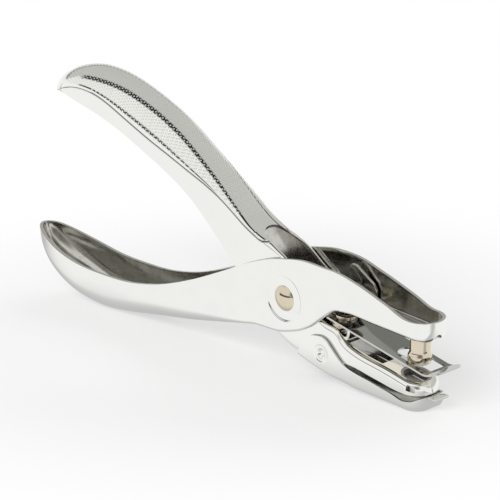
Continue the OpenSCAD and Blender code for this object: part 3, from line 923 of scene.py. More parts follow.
@dataclass
class OuterLever(Piece):
    """Lower handle, outer cheeks and upper jaw, pressed from one sheet."""

    name = "outer_lever"
    finishes = (MIRROR_CHROME, INSIDE_CHROME, CUT_EDGE)
    body = Body.PUNCH_LEVER

    back_end: float = -98.0
    front_end: float = 47.2
    open_from: float = -14.0
    open_to: float = 18.4
    open_half: float = 5.6
    dish_r: float = 6.1
    dish_depth: float = 0.25
    dish_slope: float = 0.55
    dish_margin: float = 0.1
    ring_inside: float = 1.3
    ring_outside: float = 0.9
    notch_r: float = 1.75
    notch_up: float = 1.75
    notch_length: float = 5.2
    notch_ahead: float = 0.4
    edge_rounding: float = 0.16

    rim: Knots = (
        (-98, -3.2), (-95.6, -3.7), (-92.1, -4.9), (-88.2, -6.2), (-83.3, -7.4), (-77.6, -8.6),
        (-70.6, -9.3), (-60, -9.4), (-48, -7.8), (-36, -4), (-22, 2.1), (-12, 6.8), (-2, 10.1),
        (8, 11.6), (16, 11.2), (24, 9.4), (34, 6.2), (41, 3.8), (47.2, 3.6))
    web: Knots = (
        (-98, -15.85), (-89.2, -16.4), (-79.4, -18.35), (-68.6, -19.85), (-57.8, -18.8),
        (-50, -17.6), (-38.2, -15.8), (-26, -13.2), (-15, -10.6), (-10, -9.8), (-4, -9.8),
        (3.5, -8.2), (8.6, -5.8), (13.2, -2.2), (17.6, 0.513), (30, -0.398), (47.2, -1.661))
    half: Knots = (
        (-98, 7.4), (-60, 7.3), (-48, 6.85), (-36, 6.6), (13, 6.6), (17, 6.15), (22, 5.7),
        (30, 5.6), (47.2, 5.5))
    corner: Knots = (
        (-98, 4.6), (-58, 4.6), (-30, 3), (-16, 1.1), (-14, 1.0), (18.4, 1.1), (22, 1.5),
        (47.2, 1.7))

    def channel(self) -> Channel:
        """The lever's outlines as one channel."""
        corner = Outline(self.corner)
        opening = Opening(self.open_from, self.open_to, self.open_half)
        return Channel(Outline(self.rim), Outline(self.web), Outline(self.half), corner, corner,
                       self.back_end, self.front_end, (22.0, 21.0), (1.9, 5.5), opening)

    def build(self) -> bpy.types.Object:
        """Press the sheet, dish the rivet's seats and cut the notch in the nose.

        Returns:
            The lever.
        """
        lever = self.channel().press(self.name, 0.55, (-40.0, 0.0, -60.0))
        ring = (self.dish_r - self.ring_inside, self.dish_r + self.ring_outside)
        press_round(lever, PIVOT, ring, 3, self.dish_at)
        thicken(self.dress(lever), LEVER_SHEET)
        soften_shell(lever, self.edge_rounding)
        nose = in_jaw(UPPER_SLOPE, self.front_end + self.notch_ahead, 0.0, self.notch_up)
        carve(lever, rod("notch", self.notch_r, self.notch_length, nose, 90.0 + UPPER_SLOPE))
        shade(lever, SHELL_ANGLE)
        return lever

    def dish_at(self, reach: float) -> float:
        """Depth of the rivet's round seat at a distance from the pivot."""
        inside = self.dish_r + self.dish_margin - reach
        return self.dish_depth * float(ease(inside / self.dish_slope))


# The inner lever with its knurled pad.


@dataclass
class InnerLever(Piece):
    """Upper handle with its crowned grip, inner cheeks and lower jaw, pressed from one sheet."""

    name = "inner_lever"
    finishes = (GRIP_CHROME, INSIDE_CHROME, CUT_EDGE)

    back_end: float = -88.5
    front_end: float = 44.8
    arch_x: float = -10.9
    arch_r: float = 4.45
    open_to: float = 10.0
    half_cheek: float = 5.4
    die_depth: float = 4.0
    window_ahead: float = 6.2
    window_size: Point = (12.2, 7.2, 7.0)
    slit_ahead: float = 4.8
    slit_size: Point = (6.2, 3.0, 1.5)
    slit_out: float = 0.4
    slit_below: float = 1.4
    edge_rounding: float = 0.14

    rim: Knots = (
        (-88.5, 36.1), (-82.3, 38.1), (-76, 37.1), (-64, 34.2), (-52, 29.5), (-42, 24.7),
        (-34, 19.6), (-27, 12.8), (-19.6, 5.1), (-11, -3.1), (-3, -10.4), (4, -13.2), (10, -13.2),
        (16, -13), (20.7, -12.8), (30, -14.2), (38, -15.5), (44.8, -15.9))
    web: Knots = (
        (-88.5, 43.3), (-84.1, 44.4), (-79, 45.2), (-72, 45.7), (-63, 44.8), (-56, 42.9),
        (-48.8, 40.3), (-43, 37.6), (-37.5, 34.1), (-31.8, 30.1), (-26, 26), (-20.4, 21.7),
        (-14.7, 17.4), (-10, 14.9), (-5, 12.6), (-1.4, 10.8), (3.1, 7.5), (6.9, 5), (9, 0.6),
        (10.2, -2.3), (13, -3.73), (16.7, -4.543), (18.4, -6.5), (20.5, -7.9), (25, -9.3),
        (33, -10.686), (40, -12.225), (44.8, -13.331))
    half: Knots = (
        (-88.5, 7.0), (-50, 7.0), (-40, 6.6), (-31, 5.9), (-23, 5.4), (44.8, 5.4))
    crown: Knots = (
        (-88.5, 4.2), (-70, 4.8), (-56, 7.2), (-47, 7.7), (-38, 6.4), (-29.5, 4.2), (-21, 2.4),
        (-12, 1.6), (-6, 1.5), (-3, 1.0), (9, 1.0), (14, 1.5), (44.8, 1.6))
    crown_width: Knots = (
        (-88.5, 7.0), (-50, 7.0), (-40, 6.6), (-31, 5.9), (-23, 5.3), (-12, 5.1), (-9, 3.6),
        (-6, 1.6), (-3, 1.5), (44.8, 1.5))

    def channel(self) -> Channel:
        """The lever's outlines as one channel."""
        web = Outline(self.web, jaw_softness=0.45)
        opening = Opening(self.arch_x, self.open_to, self.arch_r, self.arch_r)
        return Channel(Outline(self.rim), web, Outline(self.half), Outline(self.crown_width),
                       Outline(self.crown), self.back_end, self.front_end, (16.0, 16.0),
                       (1.8, 5.2), opening, wall_steps=20)

    def build(self) -> bpy.types.Object:
        """Press the sheet, cut the die's jaw and store where the pad's line runs.

        Returns:
            The lever.
        """
        channel = self.channel()
        lever = channel.press(self.name, 0.5, (-60.0, 0.0, 90.0))
        thicken(self.dress(lever), LEVER_SHEET)
        soften_shell(lever, self.edge_rounding)
        self.cut_die_jaw(lever)
        PadOutline(channel).mark(lever)
        shade(lever, SHELL_ANGLE)
        return lever

    def cut_die_jaw(self, lever: bpy.types.Object) -> None:
        """Cut the places for the die, the paper stop's window and the slits at the nose."""
        die = in_jaw(LOWER_SLOPE, DIE_REACH, 0.0, DIE_FACE)
        carve(lever, rod("die_hole", DIE_R, self.die_depth, die, LOWER_SLOPE))
        window = in_jaw(LOWER_SLOPE, STOP_REACH + self.window_ahead, 0.0, DIE_FACE)
        carve(lever, block("stop_window", self.window_size, window, LOWER_SLOPE))
        for side in (-1, 1):
            slit = in_jaw(LOWER_SLOPE, DIE_REACH + self.slit_ahead,
                          side * (self.half_cheek + self.slit_out), DIE_FACE - self.slit_below)
            carve(lever, block("corner_slit", self.slit_size, slit, LOWER_SLOPE))


@dataclass
class PaperStop(Piece):
    """The tab that is lanced out of the inner lever's web and bent up behind the paper."""

    name = "paper_stop"
    finishes = (MIRROR_CHROME,)

    width: float = 6.6
    height: float = 3.5
    rise: float = 2.1

    def build(self) -> bpy.types.Object:
        """Stand the tab on the jaw."""
        centre = in_jaw(LOWER_SLOPE, STOP_REACH - LEVER_SHEET / 2, 0.0, DIE_FACE + self.rise)
        tab = block(self.name, (LEVER_SHEET, self.width, self.height), centre, LOWER_SLOPE)
        soften_edges(tab, 0.15)
        shade(tab)
        return self.dress(tab)


@dataclass(frozen=True)
class PadOutline:
    """The line round the knurled pad: along both walls under the crown and round at its front.

    Args:
        channel: outlines of the lever that carries the pad.
        front: where its round end lies on the middle of the crown.
        round_end: length over which it rounds off.
        far_inset: how far above the wall the line lies on the far side.
        heel: where the line starts to fade out toward the handle's end.
        spacing: distance between the sections that are measured.
        around: how far past the round end distances are measured to its curve.
        bend_sections: how many sections back that curve is followed.
        bend_points: how many points it is divided into.
    """

    channel: Channel
    front: float = -5.2
    round_end: float = 5.0
    far_inset: float = 3.4
    heel: float = -68.5
    spacing: float = 0.25
    around: float = 3.0
    bend_sections: int = 90
    bend_points: int = 700

    def crown(self, x: np.ndarray) -> tuple[np.ndarray, np.ndarray, np.ndarray, np.ndarray]:
        """The crown between the two walls, unrolled.

        Args:
            x: places along the lever.

        Returns:
            Its points, the way each one faces, the distance travelled along its middle and the
            distance of each point from one side.
        """
        points = self.channel.rows(x)
        square = np.cross(np.gradient(points, axis=0), np.gradient(points, axis=1))
        square /= np.maximum(np.linalg.norm(square, axis=-1, keepdims=True), 1e-9)
        outwards = points - points.mean(axis=1, keepdims=True)
        facing = square * np.sign(np.sum(square * outwards, axis=-1).mean())
        wall = self.channel.wall_steps
        crown = points[:, wall:-wall]
        middle = crown[:, crown.shape[1] // 2]
        steps = np.linalg.norm(np.diff(middle, axis=0), axis=1)
        travelled = np.concatenate([[0.0], np.cumsum(steps)])
        steps = np.linalg.norm(np.diff(crown, axis=1), axis=2)
        width = np.concatenate([np.zeros((len(x), 1)), np.cumsum(steps, axis=1)], axis=1)
        return crown, facing[:, wall:-wall], travelled, width

    def net(self) -> tuple[np.ndarray, np.ndarray]:
        """Spread a net of points over the whole outer skin and measure each one to the line.

        Returns:
            The points in millimetres and their distances, negative inside the pad.
        """
        x = np.arange(self.channel.back_end + self.spacing, self.channel.front_end, self.spacing)
        crown, _, travelled, width = self.crown(x)
        half = width[:, -1:] / 2
        line = half * fade(self.front - x, self.round_end)[:, None]
        aside = np.abs(width - half) + np.where(width > half, self.far_inset, 0.0)
        distance = aside - line
        tip = np.interp(self.front, x, travelled)
        along = np.broadcast_to(travelled[:, None], width.shape)
        close = np.abs(along - tip) < self.round_end + self.around
        behind = x <= self.front
        bend = np.stack([travelled[behind], line[behind, 0]], axis=1)[-self.bend_sections :]
        spots = np.stack([along[close], aside[close]], axis=1)
        least = self.least_distance(spots, bend, (tip, 0.0))
        outside = (distance > 0) | ~behind[:, None]
        distance[close] = np.where(outside[close], least, -least)
        distance += np.sign(distance) * np.maximum(self.heel - x, 0.0)[:, None]
        wall = self.channel.rows(x)[:, : self.channel.wall_steps]
        below = np.linalg.norm(wall - crown[:, :1], axis=2) + np.maximum(distance[:, :1], 0.0)
        other_wall = wall * np.array([1.0, -1.0, 1.0])
        points = [part.reshape(-1, 3) for part in (crown, wall, other_wall)]
        return np.concatenate(points), np.concatenate([distance.ravel(), below.ravel(),
                                                       below.ravel()])

    def least_distance(self, spots: np.ndarray, bend: np.ndarray,
                       tip: tuple[float, float]) -> np.ndarray:
        """Measure spots of the unrolled crown to the round end of the line.

        Args:
            spots: (along, aside) of each spot.
            bend: points of the line before its end.
            tip: where the line meets the middle of the crown.

        Returns:
            The distance of each spot.
        """
        fine = np.linspace(0, len(bend) - 1, self.bend_points)
        order = np.arange(len(bend))
        curve = np.stack([np.interp(fine, order, bend[:, k]) for k in (0, 1)], axis=1)
        curve[-1] = tip
        apart = spots[:, None] - curve[None]
        return np.min(np.hypot(apart[..., 0], apart[..., 1]), axis=1)

    def mark(self, lever: bpy.types.Object) -> None:
        """Store how far each corner of the lever lies from the line, for its finish.

        Args:
            lever: the finished lever.
        """
        points, distance = self.net()
        near = KDTree(len(points))
        for index, point in enumerate(to_row_frame(points)):
            near.insert(point, index)
        near.balance()
        marks = []
        for corner in lever.data.vertices:
            found = near.find_n(corner.co, 3)
            weights = [1.0 / (away + 1e-7) for _, _, away in found]
            parts = [weight * distance[index] for weight, (_, index, _) in zip(weights, found)]
            marks.append(sum(parts) / sum(weights))
        layer = lever.data.attributes.new(PAD_LINE, "FLOAT", "POINT")
        layer.data.foreach_set("value", np.array(marks, np.float32))


@dataclass
class GripKnurl(Piece):
    """Staggered raised pips that cover the crown of the upper grip.

    Args:
        outline: outline of the pad that they stand on.
        pitch: distance between pips along a row, in millimetres.
        row_gap: distance between rows.
        pip_r: radius of a pip.
        pip_h: how far it stands up.
        back: where the pips start along the lever.
        front: where they end.
        margin: bare strip between the pips and the pad's line.
        end_taper: length over which the rows grow shorter toward each end.
        end_start: how far along that taper the first row stands.
        cut_at: where a pip's ball is cut off below its middle, as a share of its radius.
        spare: how far past the pips the crown is measured.
    """

    name = "grip_knurl"
    finishes = (MIRROR_CHROME,)

    outline: PadOutline
    pitch: float = 0.86
    row_gap: float = 0.74
    pip_r: float = 0.25
    pip_h: float = 0.07
    back: float = -80.5
    front: float = -15.5
    margin: float = 0.9
    end_taper: float = 3.0
    end_start: float = 0.4
    cut_at: float = -0.3
    spare: float = 4.0

    def pip(self) -> tuple[np.ndarray, list[tuple[int, ...]]]:
        """Model one pip as a low dome with few faces.

        Returns:
            Its corners in millimetres and its faces.
        """
        deselect_all()
        bpy.ops.mesh.primitive_uv_sphere_add(segments=8, ring_count=6, radius=1.0)
        dome = bpy.context.active_object
        edit_mesh(dome, lambda: bpy.ops.mesh.bisect(
            plane_co=(0, 0, self.cut_at), plane_no=(0, 0, 1), clear_inner=True))
        corners = np.array([corner.co for corner in dome.data.vertices])
        corners *= np.array([self.pip_r, self.pip_r, self.pip_h])
        faces = [tuple(face.vertices) for face in dome.data.polygons]
        bpy.data.objects.remove(dome)
        return corners, faces

    def places(self) -> tuple[np.ndarray, np.ndarray]:
        """Spread the pips over the crown.

        Returns:
            Their feet in millimetres and the way that each one points.
        """
        x = np.arange(self.back - self.spare, self.front + self.spare, self.outline.spacing)
        crown, facing, travelled, width = self.outline.crown(x)
        middle = crown[:, crown.shape[1] // 2]
        low, high = np.interp([self.back, self.front], middle[:, 0], travelled)
        feet, ways = [], []
        for row, distance in enumerate(np.arange(low, high, self.row_gap)):
            k = int(np.searchsorted(travelled, distance))
            half = width[k, -1] / 2
            to_end = min(distance - low, high - distance) + self.end_start
            reach = (half - self.margin) * float(fade(np.array([to_end]), self.end_taper)[0])
            most = math.floor(half / self.pitch) + 1
            across = np.arange(-most, most + 1) * self.pitch + (row % 2) * self.pitch / 2
            for at in half + across[np.abs(across) < reach]:
                for found, source in ((feet, crown), (ways, facing)):
                    found.append([np.interp(at, width[k], source[k, :, axis]) for axis in range(3)])
        return np.array(feet), np.array(ways)

    def build(self) -> bpy.types.Object:
        """Copy the pip to every place.

        Returns:
            All the pips as one piece.
        """
        corners, faces = self.pip()
        feet, ways = self.places()
        ways /= np.linalg.norm(ways, axis=1, keepdims=True)
        side = np.cross(ways, np.array([0.0, 1.0, 0.0]))
        side /= np.linalg.norm(side, axis=1, keepdims=True)
        axes = np.stack([side, np.cross(ways, side), ways], axis=1)
        stood = feet[:, None] + corners @ axes
        count = len(corners)
        all_faces = [tuple(index + k * count for index in face)
                     for k in range(len(feet)) for face in faces]
        mesh = bpy.data.meshes.new(self.name)
        mesh.from_pydata(to_row_frame(stood.reshape(-1, 3)).tolist(), [], all_faces)
        pips = bpy.data.objects.new(self.name, mesh)
        bpy.context.scene.collection.objects.link(pips)
        edit_mesh(pips, lambda: bpy.ops.mesh.normals_make_consistent(inside=False))
        shade(pips, 80.0)
        return self.dress(pips)


# Pivot, punch, die and spring.


@dataclass
class PivotRivet(Piece):
    """The nickel rivet with a domed head on each side."""

    name = "pivot_rivet"
    finishes = (WARM_NICKEL,)
    body = Body.PUNCH_LEVER
    slot = Slot.NICKEL

    shank_r: float = 2.25
    head_r: float = 3.4
    head_h: float = 1.4
    length: float = 12.7
    dome_steps: int = 26
    dome_share: float = 0.985
    rim_in: float = 0.02

    def build(self) -> bpy.types.Object:
        """Turn the shank with both heads and lay it along Y.

        Returns:
            The rivet.
        """
        ball = (self.head_r**2 + self.head_h**2) / (2 * self.head_h)
        end = self.length / 2
        # The dome stops just short of its rim, which leaves the head a thin edge.
        sweep = self.dome_share * math.asin(self.head_r / ball)
        dome = [(ball * math.sin(a), end + self.head_h - ball * (1 - math.cos(a)))
                for a in np.linspace(0.0, sweep, self.dome_steps)]
        half = [*dome, (self.head_r - self.rim_in, end), (self.shank_r, end)]
        profile = [*half, *[(radius, -height) for radius, height in reversed(half)]]
        return self.dress(turned(self.name, profile, PIVOT, 90.0, "X"))


@dataclass
class PunchPin(Piece):
    """Punch with its wider cutting head, riveted into the upper jaw."""

    name = "punch_pin"
    finishes = (WARM_NICKEL,)
    body = Body.PUNCH_LEVER
    slot = Slot.NICKEL

    reach: float = 40.8
    tip: float = -5.4
    web: float = 1.8
    hollow: float = 0.5
    land: float = 0.9
    bevel: float = 0.15
    head_r: float = 3.05
    head_h: float = 2.0
    waist_h: float = 1.1
    waist_swell: float = 0.12
    body_r: float = 2.62
    shank_r: float = 2.5
    rivet_wide: float = 0.7
    rivet_narrow: float = 0.2
    rivet_h: float = 0.9
    rivet_crown: float = 0.1

    def build(self) -> bpy.types.Object:
        """Turn the punch, hollow ground at its tip."""
        below = self.web - self.tip
        neck = below + LEVER_SHEET
        top = neck + self.rivet_h
        profile = [
            (0.0, self.hollow), (self.head_r - self.land, self.bevel),
            (self.head_r - self.bevel, 0.0), (self.head_r, self.bevel),
            (self.head_r, self.head_h),
            (self.body_r + self.waist_swell, self.head_h + self.waist_h / 2),
            (self.body_r, self.head_h + self.waist_h), (self.body_r, below),
            (self.shank_r, below), (self.shank_r, neck), (self.shank_r + self.rivet_wide, neck),
            (self.shank_r + self.rivet_narrow, top), (0.0, top + self.rivet_crown)]
        foot = in_jaw(UPPER_SLOPE, self.reach, 0.0, self.tip)
        return self.dress(turned(self.name, profile, foot, UPPER_SLOPE, rounding=0.14))


@dataclass
class DieBush(Piece):
    """Hardened ring that the punch passes into."""

    name = "die_bush"
    finishes = (DIE_STEEL,)
    slot = Slot.STEEL

    bore_r: float = 3.2
    height: float = 2.2

    def build(self) -> bpy.types.Object:
        """Turn the ring."""
        profile = [(self.bore_r, 0.0), (DIE_R, 0.0), (DIE_R, self.height),
                   (self.bore_r, self.height)]
        foot = in_jaw(LOWER_SLOPE, DIE_REACH, 0.0, DIE_FACE - self.height)
        return self.dress(turned(self.name, profile, foot, LOWER_SLOPE, rounding=0.12))


@dataclass
class SpringCup(Piece):
    """Bright barrel that holds the spring and the rear of the stripper plate."""

    name = "spring_cup"
    finishes = (WARM_NICKEL,)
    slot = Slot.NICKEL

    seat: float = -0.9
    outer_r: float = 3.3
    wall: float = 0.75
    height: float = 2.65
    floor: float = 0.5
    collar_r: float = 3.6
    collar_h: float = 1.35
    stem_r: float = 1.1
    foot_r: float = 1.6
    foot_h: float = 0.6

    def build(self) -> bpy.types.Object:
        """Turn the barrel with its collar and its riveted foot."""
        bore = self.outer_r - self.wall
        foot_down = LEVER_SHEET + self.foot_h
        profile = [
            (0.0, self.floor), (bore, self.floor), (bore, self.height),
            (self.outer_r, self.height), (self.outer_r, self.collar_h),
            (self.collar_r, self.collar_h), (self.collar_r, 0.0), (self.stem_r, 0.0),
            (self.stem_r, -LEVER_SHEET), (self.foot_r, -LEVER_SHEET), (self.foot_r, -foot_down),
            (0.0, -foot_down)]
        foot = in_jaw(LOWER_SLOPE, CUP_REACH, 0.0, self.seat)
        return self.dress(turned(self.name, profile, foot, LOWER_SLOPE, rounding=0.1))


@dataclass
class ReturnSpring(Piece):
    """Coil of round wire between the cup and the spring seat."""

    name = "return_spring"
    finishes = (SPRING_WIRE,)
    slot = Slot.STEEL

    foot: float = -0.4
    top: float = 4.918
    coil_r: float = 2.1
    wire_d: float = 0.45
    turns: int = 5
    points_per_turn: int = 28
    pressed: float = 0.54

    def build(self) -> bpy.types.Object:
        """Sweep the wire along its helix.

        Returns:
            The spring as a mesh.
        """
        count = self.turns * self.points_per_turn
        rise = self.top - self.foot - self.wire_d
        route = bpy.data.curves.new(self.name, "CURVE")
        route.dimensions = "3D"
        route.bevel_depth = self.wire_d / 2 * MM
        route.bevel_resolution = 3
        route.use_fill_caps = True
        line = route.splines.new("POLY")
        line.points.add(count)
        for k in range(count + 1):
            turn = 2 * math.pi * k / self.points_per_turn
            up = self.foot + self.wire_d / 2 + rise * k / count
            spot = in_jaw(LOWER_SLOPE, CUP_REACH + self.coil_r * math.cos(turn),
                          self.coil_r * math.sin(turn), up)
            line.points[k].co = (*spot, 1.0)
        wire = bpy.data.objects.new(self.name, route)
        bpy.context.scene.collection.objects.link(wire)
        make_active(wire)
        bpy.ops.object.convert(target="MESH")
        spring = bpy.context.active_object
        weld(spring, 0.001)
        shade(spring, 50.0)
        return self.dress(spring)

    def add(self) -> bpy.types.Object:
        """Add the spring and give it a mesh of its own."""
        spring = super().add()
        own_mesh(spring)
        return spring


@dataclass
class SpringSeat(Piece):
    """Bracket with two ears inside the upper jaw, over the spring."""

    name = "spring_seat"
    finishes = (INSIDE_CHROME,)
    body = Body.PUNCH_LEVER

    base: float = 2.7
    thickness: float = 0.8
    half: float = 4.3
    back: float = 10.4
    front: float = 22.2
    ear: Knots = ((12.6, 9.7), (13.6, 11.1), (15, 11.1), (21, 7.9), (22.2, 6.3))

    def ear_plate(self, across: float) -> bpy.types.Object:
        """Cut one ear from sheet.

        Args:
            across: where the middle of its thickness lies.

        Returns:
            The ear.
        """
        corners = ((self.ear[0][0], self.base), *self.ear, (self.ear[-1][0], self.base))
        deselect_all()
        bpy.ops.mesh.primitive_circle_add(vertices=len(corners), radius=MM, fill_type="NGON")
        plate = newly_added("ear")
        for corner, (along, up) in zip(plate.data.vertices, corners):
            corner.co = in_jaw(UPPER_SLOPE, along, across, up)
        plate.data.update()
        finish_with(plate, "SOLIDIFY", thickness=self.thickness * MM, offset=0.0)
        weld(plate)
        soften_edges(plate, 0.16)
        return plate

    def build(self) -> bpy.types.Object:
        """Bend the two ears up from the base.

        Returns:
            The bracket.
        """
        middle = in_jaw(UPPER_SLOPE, (self.back + self.front) / 2, 0.0,
                        self.base + self.thickness / 2)
        floor_size = (self.front - self.back, 2 * self.half, self.thickness)
        bracket = block("seat_floor", floor_size, middle, UPPER_SLOPE)
        soften_edges(bracket, 0.12)
        across = self.half - self.thickness / 2
        ears = [self.ear_plate(side * across) for side in (-1, 1)]
        make_active(bracket)
        for plate in ears:
            plate.select_set(True)
        bpy.ops.object.join()
        bracket.name = self.name
        shade(bracket)
        return self.dress(bracket)


@dataclass
class StripperPlate(Piece):
    """Thin plate over the paper throat, with a long window and an upturned lip."""

    name = "stripper_plate"
    finishes = (SPRING_STEEL, SPRING_STEEL, BRIGHT_EDGE)

    rear: float = 10.4
    bend: float = 47.2
    bend_half: float = 1.2
    lip_run: float = 4.2
    lip_rise: float = 2.5
    lip_round: float = 2.6
    width: float = 9.6
    under: float = 0.45
    thickness: float = 0.5
    window_rear: float = 38.15
    window_front: float = 46.8
    window_half: float = 3.35
    cup_hole_r: float = 3.4
    flat_step: float = 0.6
    bend_step: float = 0.3
    bend_points: int = 9
    lip_points: int = 16
    across_points: int = 33
    edge_rounding: float = 0.11

    def rows(self) -> np.ndarray:
        """Points of the plate's top: a flat run, a bend and a lip with round corners.

        Returns:
            Points in the row frame, shaped (stations, points across, 3).
        """
        bend_back, bend_front = self.bend - self.bend_half, self.bend + self.bend_half
        lip_back = bend_front + self.bend_step
        lip_reach = self.bend + self.lip_run - lip_back
        along = np.concatenate([
            np.arange(self.rear, bend_back, self.flat_step),
            np.linspace(bend_back, bend_front, self.bend_points),
            lip_back + lip_reach * np.sin(np.linspace(0.0, QUARTER_TURN, self.lip_points))])
        tilt = self.lip_rise / self.lip_run
        curved = (along - bend_back) ** 2 / (4 * self.bend_half)
        up = tilt * np.select([along < bend_back, along > bend_front],
                              [0.0, along - self.bend], curved)
        corner = np.clip(along - (self.bend + self.lip_run - self.lip_round), 0.0, self.lip_round)
        narrow = self.lip_round - np.sqrt(np.maximum(self.lip_round**2 - corner**2, 0.0))
        across = np.linspace(-self.width / 2, self.width / 2, self.across_points)
        return np.array([
            [in_jaw(LOWER_SLOPE, a, y * (1 - 2 * n / self.width), self.under + self.thickness + h)
             for y in across] for a, h, n in zip(along, up, narrow)])

    def build(self) -> bpy.types.Object:
        """Bend the strip, open its window and cut its holes.

        Returns:
            The plate.
        """
        plate = sheet(self.name, self.rows(), in_jaw(LOWER_SLOPE, 30.0, 0.0, 60.0))
        thicken(self.dress(plate), self.thickness)
        height = self.under + self.thickness / 2
        depth = 6 * self.thickness
        middle = in_jaw(LOWER_SLOPE, (self.window_rear + self.window_front) / 2, 0.0, height)
        opening = (self.window_front - self.window_rear, 2 * self.window_half, depth)
        carve(plate, block("window", opening, middle, LOWER_SLOPE))
        holes = ((self.window_rear, self.window_half), (CUP_REACH, self.cup_hole_r))
        for along, radius in holes:
            centre = in_jaw(LOWER_SLOPE, along, 0.0, height)
            carve(plate, rod("round_hole", radius, depth, centre, LOWER_SLOPE))
        soften_shell(plate, self.edge_rounding)
        shade(plate, SHELL_ANGLE)
        return plate


# The chip tray.


@dataclass
class ChipTray(Piece):
    """Pressed tray under the die, hinged on two dimples."""

    name = "chip_tray"
    finishes = (MIRROR_CHROME, INSIDE_CHROME, CUT_EDGE)
    body = Body.TRAY

    back_end: float = 4.2
    half: float = 6.15
    floor_from: float = 13.5
    ear_reach: float = 2.9
    dimple_r: float = 1.5
    dimple_depth: float = 0.85
    dimple_slope: float = 1.25
    seat_r: float = 2.5
    seat_depth: float = 0.12
    seat_slope: float = 0.5
    edge_rounding: float = 0.11

    rim: Knots = (
        (4.2, -13.3), (5.7, -10.4), (7.6, -8.4), (9.6, -7.6), (12.2, -7.3), (13.9, -7.8),
        (15.7, -9.4), (17.9, -11.5), (19.8, -12.95), (23, -13.9), (29.3, -15.05), (36, -16.35),
        (40.2, -17.3), (42.4, -17.1), (44.2, -16.3), (45.9, -16))
    floor: Knots = (
        (4.2, -14.2), (8, -15.4), (12, -16.5), (16, -17.4), (20, -18.1), (24, -18.72),
        (30, -19.08), (37, -19.49), (43, -19.85), (45.9, -19.35))
    corner: Knots = ((4.2, 0.7), (13.5, 0.7), (20, 1.3), (45.9, 1.4))

    def channel(self) -> Channel:
        """The tray's outlines as one channel."""
        corner = Outline(self.corner)
        opening = Opening(self.back_end, self.floor_from, self.half - TRAY_SHEET)
        return Channel(Outline(self.rim, jaw_softness=0.35), Outline(self.floor),
                       constant(self.half), corner, corner, self.back_end, TRAY_NOSE, None,
                       (1.6, 6.0), opening, wall_steps=18, corner_steps=10, web_steps=10)

    def build(self) -> bpy.types.Object:
        """Press the tray, free its ears and dimple them at the hinge.

        Returns:
            The tray.
        """
        tray = self.channel().press(self.name, 0.3, (25.0, 0.0, -60.0))
        press_round(tray, TRAY_HINGE, (0.0, self.ear_reach), 2, self.dimple_at)
        thicken(self.dress(tray), TRAY_SHEET)
        soften_shell(tray, self.edge_rounding)
        shade(tray, SHELL_ANGLE)
        return tray

    def dimple_at(self, reach: float) -> float:
        """Depth of an ear's dimple and the shallow seat round it, at a distance from the hinge."""
        dimple = self.dimple_depth * float(ease((self.dimple_r - reach) / self.dimple_slope))
        seat = self.seat_depth * float(ease((self.seat_r - reach) / self.seat_slope))
        return dimple + seat


@dataclass
class ThumbLip(Piece):
    """The small lip at the tray's nose, which a thumb swings the tray down with."""

    name = "tray_lip"
    finishes = (MIRROR_CHROME,)
    body = Body.TRAY

    length: float = 2.5
    width: float = 5.0
    ahead: float = 0.75
    height: float = -16.35

    def build(self) -> bpy.types.Object:
        """Lay the lip on the nose."""
        middle = place(TRAY_NOSE + self.ahead, 0.0, self.height)
        lip = block(self.name, (self.length, self.width, TRAY_SHEET), middle)
        soften_edges(lip, 0.2)
        shade(lip)
        return self.dress(lip)


# Studio.


@dataclass(frozen=True)
class RoomPatch:
    """A patch of the room, as the metal mirrors it.

    Args:
        colour: sRGB hex.
        edges: soft edges as (measure, outside, inside): a measure of the direction, its value
            where the patch ends and its value where the patch is full.
    """

    colour: str
    edges: tuple[tuple[str, float, float], ...]


# The ceiling behind the gap is mid-grey over a low white wall.
CEILING = RoomPatch("#C6C6C2", (("leaning Y", -0.13, -0.03), ("Z", 0.2, 0.32)))
# A dark gap runs overhead, and leans to the back toward the front of the punch.
GAP = RoomPatch("#26262A", (("leaning Y", -0.4, -0.31), ("leaning Y", -0.02, -0.11),
                            ("Z", 0.45, 0.7)))
# The room to the back left is dim above the floor.
BACK_LEFT = RoomPatch("#8C8C88", (("X", -0.3, -0.48), ("Y", -0.1, 0.12), ("Z", 0.08, 0.16),
                                  ("Z", 0.32, 0.2)))
# A dark strip stands on the horizon beside the camera. It draws the thin lines along the bends.
HORIZON = RoomPatch("#4A4740", (("X", 0.5, 0.3), ("Y", -0.55, -0.7), ("Z", 0.2, 0.11)))
# The room is dim behind the camera.
CAMERA_SIDE = RoomPatch("#8A8780", (("camera", 0.84, 0.99),))


